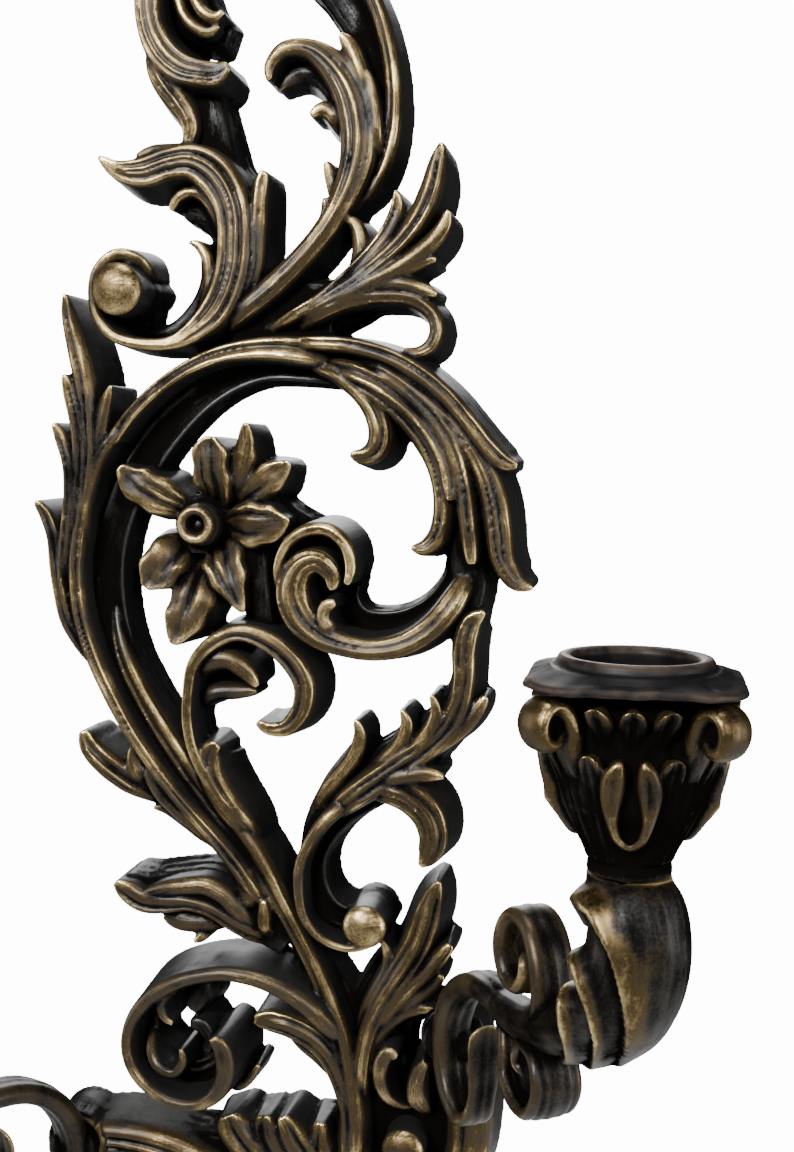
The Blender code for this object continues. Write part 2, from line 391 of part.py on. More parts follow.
        (33, 44, 6), (30, 33, 12), (24, 22, 17), (20, 10, 18), (20, -2, 18), (22, -14, 20))),
    "fan_curl": (20, 17, 1, (
        (27, 8.6, 2), (24.4, 8.8, 3.8), (22.5, 5.2, 4), (22.3, 0.6, 3.6), (24.2, -3.8, 2.8),
        (27.8, -7.2, 2), (31.4, -8.8, 1.6))),
    # lower end
    "foot_leaf_a": (17, 16, 1, (
        (-19, -13.5, 4), (-17, -18, 7), (-12, -24, 7), (-6, -31, 6))),
    "foot_leaf_b": (16, 16, 1, (
        (-9.5, -13, 3), (-8, -19, 6), (-3, -26, 6), (1, -33, 5))),
    "foot_leaf_c": (17, 16, 1, (
        (-4, -12, 2), (-1, -18, 5), (3, -24, 5), (6, -32, 4))),
    "foot_leaf_d": (16, 16, 1, (
        (6, -13, 2), (6, -20, 4), (8, -27, 4), (10, -34, 4))),
    "foot_web": (12, 12, 0, (
        (-44, -28, 6), (-34, -27, 11), (-20, -29, 15), (-6, -33, 14), (8, -34, 12))),
    "foot_left": (16, 16, 3, (
        (-61.5, -25.7, 9), (-52, -24.5, 11), (-43, -25, 12), (-34, -27, 13), (-24, -30, 11),
        (-14, -34, 8), (-4, -39, 5))),
    "foot_right": (14, 16, 2, (
        (41, 12, 13), (44, 1, 13), (45, -11, 12), (43.5, -23, 11), (38, -34, 10), (29.5, -44, 9),
        (20, -52.5, 8), (10, -60, 7), (1, -67, 6))),
    "foot_right_web": (9, 9, 0, (
        (34, 0, 12), (34, -14, 16), (29, -28, 18), (19, -40, 16), (8, -51, 12))),
    "pendant": (15, 18, 3, (
        (14.5, -12, 8), (14, -28, 10), (9, -43, 11), (1, -56, 10), (-4.5, -68, 8), (-7, -79, 5),
        (-7.5, -90, 1.6))),
    "pendant_left": (16, 16, 1, (
        (-17, -83, 1.6), (-16.5, -76, 4), (-13, -68, 5), (-8, -61, 5), (-2, -54, 5))),
    "pendant_right": (15, 16, 1, (
        (7.5, -82, 1.6), (7.5, -76, 3.6), (5.5, -69, 4.6), (2, -62, 5), (1, -55, 5))),
    "foot_scroll": (15, 19, 2, (
        (-26.5, -47.5, 2), (-22.5, -50.5, 4), (-22, -56, 5), (-26, -61, 5), (-33, -62.5, 5.5),
        (-41, -58.5, 6.5), (-46.5, -51, 7), (-48.5, -42, 7), (-46.5, -33, 7), (-41, -26, 6))),
    "foot_scroll_link": (14, 15, 1, (
        (-33, -62, 4), (-26, -66, 5), (-18, -67.5, 5), (-10, -66, 5), (-2, -61, 4))),
    "arm_root_leaf": (18, 18, 1, (
        (34.5, 8, 1.6), (32, 3, 4), (31.5, -3, 5), (34, -10, 4))),
    # top end and hanger block
    "finial_mid": (15, 17, 3, (
        (-14.5, 308, 1.6), (-14.3, 303.5, 5), (-14, 298, 6.5), (-13.6, 292, 6), (-13.5, 286, 5))),
    "finial_left": (15, 16, 2, (
        (-27.5, 304, 1.6), (-24.5, 301.5, 4), (-20.5, 297.5, 5), (-17, 292, 5), (-15, 286, 4))),
    "finial_right": (15, 16, 2, (
        (-1.5, 303, 1.6), (-4.2, 300.5, 4), (-8, 296.5, 5), (-11, 291.5, 5), (-12.5, 286, 4))),
    "hanger_web": (12, 12, 0, (
        (-21.5, 196, 17), (-14, 196, 18), (-6, 196, 18), (5.5, 196, 17))),
}

# Balls and bosses of the plate: name: (x, z, radius, height)
ROUNDS = {
    "volute_eye": (-47.7, 201.4, 6.2, 24),
    "flower_centre": (-27.6, 142.6, 6.8, 15.5),
    "branch_knob": (17.7, 41.5, 5.2, 21),
    "bead_low": (28.5, -17, 5.5, 20),
    "boss_right": (ROOT_X, ROOT_Z, BOSS_R, BOSS_H),
    "boss_left": (2 * MIRROR_X - ROOT_X, ROOT_Z - LEFT_DROP, BOSS_R, BOSS_H),
}

# Arm, in its own upright plane: s runs from the cup's axis towards the wall, z is height and t goes to
# the right across that plane. Rows are (s, z, half thickness, half width along t).
HORN = (
    (1.2, 84, 8.4, 8.4), (-1.5, 78.5, 9.2, 9.2), (-3.6, 73.5, 10, 9.9), (-4.6, 67, 10, 9.9),
    (-2.6, 59.5, 9.6, 9.5), (2.5, 52.5, 8.7, 8.8), (10.5, 46.5, 7.6, 7.8), (20, 42, 6.4, 6.8),
    (30, 38.5, 5.4, 6), (40, 36, 4.4, 5.2), (50, 35.2, 3.8, 4.8), (60, 35.6, 3.6, 4.9),
    (68.5, 34.2, 3.6, 5), (76, 30, 3.7, 5), (81.5, 23.5, 3.7, 5), (84, 15.5, 3.6, 4.8),
    (82.8, 8, 3.4, 4.6), (79, 2.2, 3, 4.4), (73, -0.8, 2.4, 4.2), (67.4, 2, 1.9, 4),
    (64.6, 8.5, 1.6, 3.8), (63.6, 15.5, 1.4, 3.2), (63.8, 21.5, 1, 1.8))
UPPER_CURL = (
    (33, 37, 2.6, 4), (30.2, 44.5, 2.3, 4), (31.4, 52.5, 2.1, 4), (35.4, 58.6, 2, 4),
    (41.5, 60.2, 2, 4), (47.2, 57, 1.9, 4), (49.4, 50.6, 1.9, 4), (46.6, 45, 1.8, 3.9),
    (41.2, 44.6, 1.7, 3.8), (38.2, 49, 1.4, 3.6), (40.4, 53.6, 1, 3.2))
BALL_AT, BALL_SIZE = (35.0, 26.6), (8.0, 6.2, 8.0)
SEAT_R = 6.6

# Outside of the cup, and one of its leaves: (depth below the rim, radius), the leaf with its half width
CUP_OUTSIDE = (
    (42, 8.5), (39.4, 8.2), (37.4, 9), (34.8, 10.8), (31.2, 12.8), (27.5, 14.6), (23, 15), (18.2, 15.4),
    (12, 15.6), (7.1, 15.6))
CUP_LEAF = (
    (37, 8.8, 1.6), (31, 12.6, 2.4), (24, 15, 3), (17, 15.9, 3), (12.4, 17.8, 2.6), (10.6, 19.8, 1.8))
CUP_LEAF_THICK = 1.3
CUP_LEAVES = 12
CORNERS = 4
VOLUTE_AT = (21.8, 13.2)  # radius and depth below the rim of each volute's centre
VOLUTE_R = 4.6
VOLUTE_WIDTH = 5.4

STEEL, BRASS = "screw_steel", "brass"  # materials of the small parts


def collection(name):
    made = bpy.data.collections.new(name)
    bpy.context.scene.collection.children.link(made)
    return made


def material(name, color, roughness, metallic):
    made = bpy.data.materials.new(name)
    made.use_nodes = True
    shader = made.node_tree.nodes["Principled BSDF"]
    shader.inputs["Base Color"].default_value = (*color, 1)
    shader.inputs["Roughness"].default_value = roughness
    shader.inputs["Metallic"].default_value = metallic
    return made


def world(place):
    """A place of the drawing, in millimetres, as Blender's place in metres."""
    return (Vector(place) - Vector(ORIGIN)) * MM


def mirrored(x, y, z, side):
    """A place on the right half, moved to the side it is wanted on."""
    if side == "left":
        return (2 * MIRROR_X - x, y, z - LEFT_DROP)
    return (x, y, z)


def finish(name, bm, into, slot=None, side="right"):
    """The bmesh, built in millimetres where its piece stands on the right half, as an object."""
    for vert in bm.verts:
        vert.co = world(mirrored(*vert.co, side))
    bmesh.ops.recalc_face_normals(bm, faces=bm.faces[:])
    mesh = bpy.data.meshes.new(name)
    bm.to_mesh(mesh)
    bm.free()
    made = bpy.data.objects.new(name, mesh)
    into.objects.link(made)
    if slot:
        mesh.materials.append(slot)
    return made


def set_origin(obj, place):
    """Move the object's origin to a place in millimetres and leave its mesh where it is."""
    obj.data.transform(Matrix.Translation(-world(place)))
    obj.location = world(place)


def hidden(obj):
    obj.hide_render = True
    obj.display_type = "WIRE"
    return obj


def boolean(obj, other, operation):
    step = obj.modifiers.new(operation.lower(), "BOOLEAN")
    step.operation = operation
    step.solver = "MANIFOLD"
    if isinstance(other, bpy.types.Collection):
        step.operand_type = "COLLECTION"
        step.collection = other
    else:
        step.object = other


def spline(rows, sharp=SHARP_TURN):
    """Catmull-Rom through the rows, with more sections in the spans that bend more."""
    rows = np.array(rows, float)
    padded = np.vstack([2 * rows[0] - rows[1], rows, 2 * rows[-1] - rows[-2]])
    out = [rows[0]]
    for a, b, c, d in zip(padded, padded[1:], padded[2:], padded[3:]):
        before, after = (c - a)[:2], (d - b)[:2]
        cross = before[0] * after[1] - before[1] * after[0]
        turn = math.degrees(abs(math.atan2(cross, before @ after)))
        count = max(1, math.ceil(turn / sharp))
        for k in range(1, count + 1):
            u = k / count
            out.append(b + 0.5 * ((c - a) * u + (2 * a - 5 * b + 4 * c - d) * u**2
                                  + (3 * b - a - 3 * c + d) * u**3))
    return np.array(out)


def directions(line):
    """The unit tangent at each point of a flat line, and its signed radius of curvature."""
    steps = np.gradient(line, axis=0)
    length = np.linalg.norm(steps, axis=1)
    tangents = steps / length[:, None]
    bend = np.gradient(np.unwrap(np.arctan2(tangents[:, 1], tangents[:, 0])))
    return tangents, length / np.where(np.abs(bend) < 1e-6, 1e-6, bend)


def loft(bm, sections):
    """Closed tube through sections of the same number of points, capped at both ends."""
    rings = [[bm.verts.new(point) for point in section] for section in sections]
    for low, high in zip(rings, rings[1:]):
        for k in range(len(low)):
            following = (k + 1) % len(low)
            bm.faces.new((low[k], low[following], high[following], high[k]))
    bm.faces.new(rings[0][::-1])
    bm.faces.new(rings[-1])


def cylinder(radius, ends, centre, axis="Y", segments=24):
    """Upright or front-to-back cylinder between two distances along its axis through the centre."""
    bm = bmesh.new()
    low, high = ends
    made = bmesh.ops.create_cone(bm, cap_ends=True, segments=segments, radius1=radius, radius2=radius,
                                 depth=high - low)
    bmesh.ops.translate(bm, verts=made["verts"], vec=(0, 0, (low + high) / 2))
    if axis == "Y":
        bmesh.ops.rotate(bm, verts=made["verts"], matrix=Matrix.Rotation(math.radians(-90), 3, "X"))
    bmesh.ops.translate(bm, verts=made["verts"], vec=centre)
    return bm


def box(centre, size):
    bm = bmesh.new()
    made = bmesh.ops.create_cube(bm, size=1)
    bmesh.ops.scale(bm, verts=made["verts"], vec=size)
    bmesh.ops.translate(bm, verts=made["verts"], vec=centre)
    return bm


def turned(name, profile, into, slot, place, axis="Z", steps=32):
    """Profile of (radius, distance along the axis) turned about the axis, closed unless it ends on it."""
    mesh = bpy.data.meshes.new(name)
    closed = profile[0][0] > 0
    edges = [(k, k + 1) for k in range(len(profile) - 1)]
    if closed:
        edges.append((len(profile) - 1, 0))
    mesh.from_pydata([(radius * MM, 0, along * MM) for radius, along in profile], edges, [])
    mesh.materials.append(slot)
    made = bpy.data.objects.new(name, mesh)
    made.location = world(place)
    if axis == "Y":
        made.rotation_euler = (math.radians(-90), 0, 0)
    into.objects.link(made)
    screw = made.modifiers.new("turn", "SCREW")
    screw.steps = screw.render_steps = steps
    screw.use_merge_vertices = True
    screw.merge_threshold = 1e-5
    screw.use_normal_calculate = not closed
    screw.use_normal_flip = closed
    return made


# Back plate

def leaf_bar(tip_height, root_height, ribs, rows):
    """One leaf or stem of the plate, flat on the wall and crowned in front."""
    bm = bmesh.new()
    rows = spline(rows)
    tangents, radius = directions(rows[:, :2])
    sections = []
    for k, (x, z, width) in enumerate(rows):
        height = tip_height + (root_height - tip_height) * k / (len(rows) - 1)
        crown = CROWN * width if ribs > 0 else 0
        cove = CROWN * width if ribs < 0 else 0
        lean = min(DRAFT * height, 0.3 * width)
        section = []
        middle = [] if ribs == 0 else [(0, height - cove)]
        for reach, depth in ((width / 2 + lean, 0), (0.46 * width, height - crown), *middle,
                             (-0.46 * width, height - crown), (-width / 2 - lean, 0)):
            if reach * radius[k] > 0:
                reach = math.copysign(min(abs(reach), 0.8 * abs(radius[k])), reach)
            section.append((x - tangents[k, 1] * reach, -depth, z + tangents[k, 0] * reach))
        sections.append(section)
    loft(bm, sections)
    return bm


def dome(x, z, radius, height):
    """Round boss, flat on the wall, with its front edge rounded over."""
    bm = bmesh.new()
    sections = []
    profile = ((1.12, 0), (1, height - 0.5 * radius), (0.86, height - 0.16 * radius), (0.5, height))
    for share, depth in profile:
        sections.append([(x + share * radius * math.cos(turn), -depth, z + share * radius * math.sin(turn))
                         for turn in np.linspace(0, math.tau, 16, endpoint=False)])
    loft(bm, sections)
    return bm


def arm_boss(x, z, radius, height):
    return cylinder(radius, (-height, 0), (x, 0, z), segments=20)


def back_plate(parts, slot):
    bars = collection("plate_bars")
    first, *others = STROKES
    plate = finish("back_plate", leaf_bar(*STROKES[first]), parts, slot)
    for name in others:
        hidden(finish(name, leaf_bar(*STROKES[name]), bars))
    for name, size in ROUNDS.items():
        shape = arm_boss if name.startswith("boss") else dome
        hidden(finish(name, shape(*size), bars))
    boolean(plate, bars, "UNION")
    holes = collection("plate_holes")
    root = (ROOT_X, 0, ROOT_Z)
    dowel = (ROOT_X, 0, ROOT_Z + DOWEL_RISE)
    for side in ("right", "left"):
        for name, hole in (
            ("screw", cylinder(SCREW_D / 2 + GAP, (-20, 2), root)),
            ("head", cylinder(HEAD_CLEAR_R, (-HEAD_DEPTH, 2), root)),
            ("dowel", cylinder(DOWEL_D / 2 + GAP, (-20, -DOWEL_BACK), dowel, segments=16)),
            ("seat", cylinder(BOSS_R + 0.6, (-40, -BOSS_H), root)),
        ):
            hidden(finish(f"{side}_{name}_clear", hole, holes, side=side))
    width, depth, height = POCKET
    pocket = box((HANGER_X, 1 - depth / 2, HANGER_Z + POCKET_RISE), (width, depth + 2, height))
    hidden(finish("pocket", pocket, holes))
    for sign in (-1, 1):
        place = (HANGER_X + sign * HANGER_SCREW_X, 0, HANGER_Z)
        hole = cylinder(HANGER_SHANK / 2 + GAP, (-HANGER_SCREW_END, 0), place, segments=12)
        hidden(finish(f"hanger_screw_clear{sign}", hole, holes))
    boolean(plate, holes, "DIFFERENCE")


# Arms

def arm_point(s, t, z):
    """World place, on the right half, of a point in the arm's own plane."""
    return (CUP_X - s * math.sin(ARM_TURN) + t * math.cos(ARM_TURN),
            CUP_Y + s * math.cos(ARM_TURN) + t * math.sin(ARM_TURN), z)


def sweep(rows, sides=8):
    """Rounded ribbon along a line in the arm's plane."""
    bm = bmesh.new()
    rows = spline(rows)
    tangents, _ = directions(rows[:, :2])
    sections = []
    for (s, z, thick, wide), (ts, tz) in zip(rows, tangents):
        section = []
        for k in range(sides):
            turn = math.tau * (k + 0.5) / sides
            out, across = thick * math.cos(turn), wide * math.sin(turn)
            section.append(arm_point(s - tz * out, across, z + ts * out))
        sections.append(section)
    loft(bm, sections)
    return bm


def ball():
    bm = bmesh.new()
    made = bmesh.ops.create_uvsphere(bm, u_segments=14, v_segments=9, radius=1)
    for vert in made["verts"]:
        s, t, z = (vert.co[k] * BALL_SIZE[k] for k in range(3))
        vert.co = arm_point(BALL_AT[0] + s, t, BALL_AT[1] + z)
    return bm


def arm(side, parts, slot):
    curls = collection(f"{side}_arm_curls")
    made = finish(f"arm_{side}", sweep(HORN, sides=12), parts, slot, side)
    hidden(finish(f"{side}_upper_curl", sweep(UPPER_CURL), curls, side=side))
    hidden(finish(f"{side}_ball", ball(), curls, side=side))
    hidden(finish(f"{side}_seat", cylinder(SEAT_R, (-21, -BOSS_H), (ROOT_X, 0, ROOT_Z)), curls, side=side))
    boolean(made, curls, "UNION")
    cuts = collection(f"{side}_arm_cuts")
    root = (ROOT_X, 0, ROOT_Z)
    dowel = (ROOT_X, 0, ROOT_Z + DOWEL_RISE)
    cup = (CUP_X, CUP_Y, 0)
    front = BOSS_H + GAP
    for name, cut in (
        ("back", box((ROOT_X, -front / 2, ROOT_Z), (60, front, 80))),
        ("top", cylinder(14, (NECK_Z - GAP, NECK_Z + 12), cup, "Z")),
        ("insert", cylinder(INSERT_D / 2 + GAP, (-ARM_HOLE_END, -BOSS_H), root)),
        ("dowel", cylinder(DOWEL_D / 2 + GAP, (-DOWEL_FRONT - GAP, -BOSS_H), dowel, segments=16)),
        ("cup_insert", cylinder(INSERT_D / 2 + GAP, (CUP_INSERT_LOW - GAP, NECK_Z), cup, "Z")),
    ):
        hidden(finish(f"{side}_arm_{name}", cut, cuts, side=side))
    boolean(made, cuts, "DIFFERENCE")


# Cups and candle sockets

def radial(turn, radius, across, depth):
    """World place at a turn about the right cup's axis, at distances out, across and below the rim."""
    return (CUP_X + radius * math.cos(turn) - across * math.sin(turn),
            CUP_Y + radius * math.sin(turn) + across * math.cos(turn), RIM_Z - depth)


def cup_leaf(turn):
    bm = bmesh.new()
    sections = []
    for depth, radius, half in CUP_LEAF:
        inner, outer = radius - 2.5 * CUP_LEAF_THICK, radius + CUP_LEAF_THICK / 2
        sections.append([radial(turn, inner, -half, depth), radial(turn, inner, half, depth),
                         radial(turn, outer - 0.5, half * 0.8, depth), radial(turn, outer + 0.4, 0, depth),
                         radial(turn, outer - 0.5, -half * 0.8, depth)])
    loft(bm, sections)
    return bm


def volute(turn):
    bm = bmesh.new()
    radius, depth = VOLUTE_AT
    sections = []
    for across, share in ((-0.5, 0.8), (-0.36, 1), (0.36, 1), (0.5, 0.8)):
        section = []
        for k in range(14):
            angle = math.tau * k / 14
            section.append(radial(turn, radius + share * VOLUTE_R * math.cos(angle), across * VOLUTE_WIDTH,
                                  depth + share * VOLUTE_R * math.sin(angle)))
        sections.append(section)
    loft(bm, sections)
    return bm


def cup(side, parts, slot):
    place = mirrored(CUP_X, CUP_Y, RIM_Z, side)
    top, floor = CUP_OUTSIDE[-1][0], RIM_Z - CUP_FLOOR_Z
    bore = CANDLE_D / 2 + SOCKET_WALL + GAP
    hole, recess = SCREW_D / 2 + GAP, HEAD_D / 2 + GAP
    seat = floor + CUP_HEAD_RECESS
    profile = [(radius, -depth) for depth, radius in CUP_OUTSIDE]
    profile += [(bore, -top), (bore, -floor), (recess, -floor), (recess, -seat), (hole, -seat),
                (hole, -CUP_OUTSIDE[0][0])]
    made = turned(f"cup_{side}", profile, parts, slot, place, steps=36)
    leaves = collection(f"{side}_cup_leaves")
    for k in range(CUP_LEAVES):
        turn = FLANGE_TURN + math.tau * k / CUP_LEAVES
        hidden(finish(f"{side}_cup_leaf_{k}", cup_leaf(turn), leaves, side=side))
    for k in range(CORNERS):
        turn = FLANGE_TURN + math.tau * k / CORNERS
        hidden(finish(f"{side}_cup_volute_{k}", volute(turn), leaves, side=side))
    boolean(made, leaves, "UNION")
    cuts = collection(f"{side}_cup_cuts")
    clear = cylinder(bore, (CUP_FLOOR_Z, RIM_Z), (CUP_X, CUP_Y, 0), "Z", segments=36)
    hidden(finish(f"{side}_bore", clear, cuts, side=side))
    boolean(made, cuts, "DIFFERENCE")


def socket(side, parts, slot):
    """Thin cup for the candle and its eight-sided flange, one loft from its underside to its floor."""
    hole, sleeve = CANDLE_D / 2, CANDLE_D / 2 + SOCKET_WALL
    bottom = RIM_Z - CUP_FLOOR_Z - GAP
    edge = "edge"
    rings = (
        (sleeve - 1, bottom), (sleeve, bottom - 0.6), (sleeve, 6.9), (sleeve + 0.6, 6.7), (edge, 6.6),
        (edge, 5.3), (LIP_R, 0.7), (LIP_R - 0.6, 0), (hole + 0.7, 0), (hole, 0.7),
        (hole, SOCKET_DEPTH), (hole / 2, SOCKET_DEPTH))
    bm = bmesh.new()
    sections = []
    for radius, depth in rings:
        section = []
        for k in range(FLANGE_STEPS):
            turn = math.tau * k / FLANGE_STEPS
            face = max(abs(math.cos(turn - math.pi / 4)), abs(math.sin(turn - math.pi / 4)))
            reach = min(FLANGE_CORNER_R, FLANGE_SIDE_R / face) if radius == edge else radius
            section.append(radial(turn + FLANGE_TURN, reach, 0, depth))
        sections.append(section)
    loft(bm, sections)
    made = finish(f"socket_{side}", bm, parts, slot, side)
    set_origin(made, mirrored(CUP_X, CUP_Y, RIM_Z, side))


# Fasteners

def pan_screw(name, shank, head, head_height, length, into, slot, place, axis):
    """Screw whose head's underside is at the place; its shank runs down the axis and its head up it."""
    profile = [(0, -length), (shank / 2 - 0.6, -length), (shank / 2, -length + 0.8), (shank / 2, 0),
               (head / 2, 0), (head / 2, head_height * 0.55), (head / 2 - 0.9, head_height), (0, head_height)]
    return turned(name, profile, into, slot, place, axis, steps=24)


def sleeve_ring(name, outer, inner, ends, into, slot, place, axis):
    low, high = ends
    profile = [(inner, low), (outer, low), (outer, high), (inner, high)]
    return turned(name, profile, into, slot, place, axis, steps=24)


def fasteners(side, parts, slots):
    """What holds one arm on the plate and one cup on its arm."""
    hole = SCREW_D / 2 + GAP
    root = mirrored(ROOT_X, 0, ROOT_Z, side)
    washer_back = HEAD_DEPTH - GAP - WASHER
    sleeve_ring(f"arm_washer_{side}", WASHER_R, hole, (-HEAD_DEPTH + GAP, -washer_back), parts,
                slots[STEEL], root, "Y")
    under_head = Vector(root) - Vector((0, washer_back - GAP, 0))
    pan_screw(f"arm_screw_{side}", SCREW_D, HEAD_D, HEAD_HEIGHT, ARM_HOLE_END - washer_back, parts,
              slots[STEEL], under_head, "Y")
    sleeve_ring(f"arm_insert_{side}", INSERT_D / 2, hole, (-ARM_HOLE_END + GAP, -BOSS_H - 2 * GAP), parts,
                slots[BRASS], root, "Y")
    dowel_at = mirrored(ROOT_X, 0, ROOT_Z + DOWEL_RISE, side)
    low, high = -DOWEL_FRONT, -DOWEL_BACK - GAP
    radius, chamfer = DOWEL_D / 2, 0.4
    turned(f"arm_dowel_{side}", [(0, low), (radius - chamfer, low), (radius, low + chamfer),
                                 (radius, high - chamfer), (radius - chamfer, high), (0, high)],
           parts, slots[STEEL], dowel_at, "Y", steps=16)
    seat = CUP_FLOOR_Z - CUP_HEAD_RECESS + GAP
    length = seat - CUP_INSERT_LOW - GAP
    pan_screw(f"cup_screw_{side}", SCREW_D, HEAD_D, CUP_HEAD_RECESS - 3 * GAP, length, parts,
              slots[STEEL], mirrored(CUP_X, CUP_Y, seat, side), "Z")
    sleeve_ring(f"cup_insert_{side}", INSERT_D / 2, hole, (CUP_INSERT_LOW, NECK_Z - 2 * GAP), parts,
                slots[BRASS], mirrored(CUP_X, CUP_Y, 0, side), "Z")


# Hanger

def hanger(parts, slots):
    width, thick, height = STRAP
    floor = -POCKET[1] + GAP
    bar = box((HANGER_X, floor + thick / 2, HANGER_Z), (width, thick, height))
    strap = finish("hanger_strap", bar, parts, slots[STEEL])
    ring_y = floor + thick + GAP + RING_WIRE / 2
    loop_in, loop_out = RING_WIRE / 2 + GAP, RING_WIRE / 2 + GAP + thick
    extras = collection("strap_extras")
    hidden(finish("strap_loop", loop(ring_y, loop_in, loop_out, floor + thick / 2), extras))
    boolean(strap, extras, "UNION")
    cuts = collection("strap_cuts")
    for sign in (-1, 1):
        place = (HANGER_X + sign * HANGER_SCREW_X, 0, HANGER_Z)
        hole = cylinder(HANGER_SHANK / 2 + GAP, (-8, 0), place, segments=12)
        hidden(finish(f"strap_hole{sign}", hole, cuts))
        name = "hanger_screw_left" if sign < 0 else "hanger_screw_right"
        pan_screw(name, HANGER_SHANK, HANGER_HEAD, 1, HANGER_SCREW_END - GAP + floor + thick + GAP, parts,
                  slots[STEEL], (place[0], floor + thick + GAP, place[2]), "Y")
    boolean(strap, cuts, "DIFFERENCE")
    ring(parts, slots[STEEL], ring_y)


def loop(y, inner, outer, foot_y):
    """Half-round bridge over the ring's lower bar, with feet down to the strap."""
    bm = bmesh.new()
    turns = np.linspace(0, math.pi, 9)
    over, under = (
        [(foot_y, reach), *((y + reach * math.sin(a), reach * math.cos(a)) for a in turns), (foot_y, -reach)]
        for reach in (outer, inner))
    sections = [[(HANGER_X - 2, a, HANGER_Z + b), (HANGER_X + 2, a, HANGER_Z + b),
                 (HANGER_X + 2, c, HANGER_Z + d), (HANGER_X - 2, c, HANGER_Z + d)]
                for (a, b), (c, d) in zip(over, under)]
    loft(bm, sections)
    return bm


def ring(parts, slot, y):
    """D-shaped wire: a bar along X, which is its hinge, and an arch above it."""
    line = bpy.data.curves.new("hanger_ring", "CURVE")
    line.dimensions = "3D"
    line.bevel_depth = RING_WIRE / 2 * MM
    line.bevel_resolution = 2
    arch = np.linspace(0, math.pi, 11)
    places = [(RING_HALF * math.cos(a), RING_RISE + RING_HALF * math.sin(a)) for a in arch]
    places += [(-RING_HALF, 0.8), (-RING_HALF + 0.8, 0), (RING_HALF - 0.8, 0), (RING_HALF, 0.8)]
    wire = line.splines.new("POLY")
    wire.points.add(len(places) - 1)
    for point, (x, z) in zip(wire.points, places):
        point.co = (x * MM, 0, z * MM, 1)
    wire.use_cyclic_u = True
    line.materials.append(slot)
    made = bpy.data.objects.new("hanger_ring", line)
    made.location = world((HANGER_X, y, HANGER_Z))
    parts.objects.link(made)


def main():
    for old in list(bpy.data.objects):
        bpy.data.objects.remove(old, do_unlink=True)
    parts = collection("wall_sconce")
    resin = material("plate_finish", (0.028, 0.024, 0.020), 0.42, 0.25)
    arm_finish = material("arm_finish", (0.034, 0.028, 0.022), 0.40, 0.25)
    cup_finish = material("cup_finish", (0.030, 0.025, 0.020), 0.42, 0.25)
    dark = material("socket_finish", (0.030, 0.031, 0.031), 0.62, 0.1)
    slots = {
        STEEL: material(STEEL, (0.50, 0.49, 0.47), 0.35, 1),
        BRASS: material(BRASS, (0.62, 0.47, 0.22), 0.35, 1),
    }
    back_plate(parts, resin)
    for side in ("right", "left"):
        arm(side, parts, arm_finish)
        cup(side, parts, cup_finish)
        socket(side, parts, dark)
        fasteners(side, parts, slots)
    hanger(parts, slots)


main()
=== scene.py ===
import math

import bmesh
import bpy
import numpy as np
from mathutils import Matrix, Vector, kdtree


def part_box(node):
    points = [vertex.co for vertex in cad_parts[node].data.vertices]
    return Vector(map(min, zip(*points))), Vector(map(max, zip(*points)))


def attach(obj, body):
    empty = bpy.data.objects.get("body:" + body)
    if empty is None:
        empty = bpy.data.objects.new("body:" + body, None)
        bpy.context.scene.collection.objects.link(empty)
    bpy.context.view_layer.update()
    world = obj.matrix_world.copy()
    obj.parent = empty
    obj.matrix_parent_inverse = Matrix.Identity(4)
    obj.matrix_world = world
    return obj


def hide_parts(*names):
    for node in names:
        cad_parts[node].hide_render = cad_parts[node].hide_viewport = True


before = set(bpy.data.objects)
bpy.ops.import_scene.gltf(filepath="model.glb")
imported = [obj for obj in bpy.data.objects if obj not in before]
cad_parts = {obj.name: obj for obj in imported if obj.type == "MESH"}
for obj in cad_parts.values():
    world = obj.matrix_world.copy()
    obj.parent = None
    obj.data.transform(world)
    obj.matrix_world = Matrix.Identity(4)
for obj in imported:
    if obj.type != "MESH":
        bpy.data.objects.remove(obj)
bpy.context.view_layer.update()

# Looks of the rococo wall sconce: fine leaf and scroll meshes over the CAD frame, and their finishes.
#
# The wall is y = 0, the front faces -Y and +Z is up. Leaves are drawn in millimetres, in the plate's own
# drawing, whose point ORIGIN is the frame's 0, 0, 0. Each carved piece is made of many overlapping ribbed
# bars that a voxel remesh fuses into one skin. The gilding then follows how proud each vertex stands.

MM = 0.001
ORIGIN = np.array((14.0, 0.0, -8.0))


# Places of the pieces, from the CAD

def drawn(node):
    """Lowest and highest corners of a CAD node in the drawing."""
    return [np.round(np.array(corner) / MM + ORIGIN, 2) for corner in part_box(node)]


def drawn_middle(node):
    return np.round(sum(drawn(node)) / 2, 2)


GAP = 0.3  # between a piece and the hole it stands in
ROOT_X, _, ROOT_Z = drawn_middle("arm_screw_right")
LEFT_ROOT_X, _, LEFT_ROOT_Z = drawn_middle("arm_screw_left")
MIRROR_X = (ROOT_X + LEFT_ROOT_X) / 2  # the left arm, cup and socket are the right ones mirrored here
LEFT_DROP = round(ROOT_Z - LEFT_ROOT_Z, 2)  # and set this much lower
DOWEL_RISE = round(drawn_middle("arm_dowel_right")[2] - ROOT_Z, 2)
BOSS_H = -drawn("arm_right")[1][1] - GAP  # height of the plate's bosses, which the arms stand on
CUP_X, CUP_Y, _ = drawn_middle("cup_screw_right")
NECK_Z = drawn("cup_right")[0][2]
CUP_FLOOR_Z = drawn("socket_right")[0][2] - GAP
RIM_Z = drawn("socket_right")[1][2]
HANGER_X, _, HANGER_Z = drawn_middle("hanger_strap")
HANGER_SCREW_X = drawn_middle("hanger_screw_right")[0] - HANGER_X

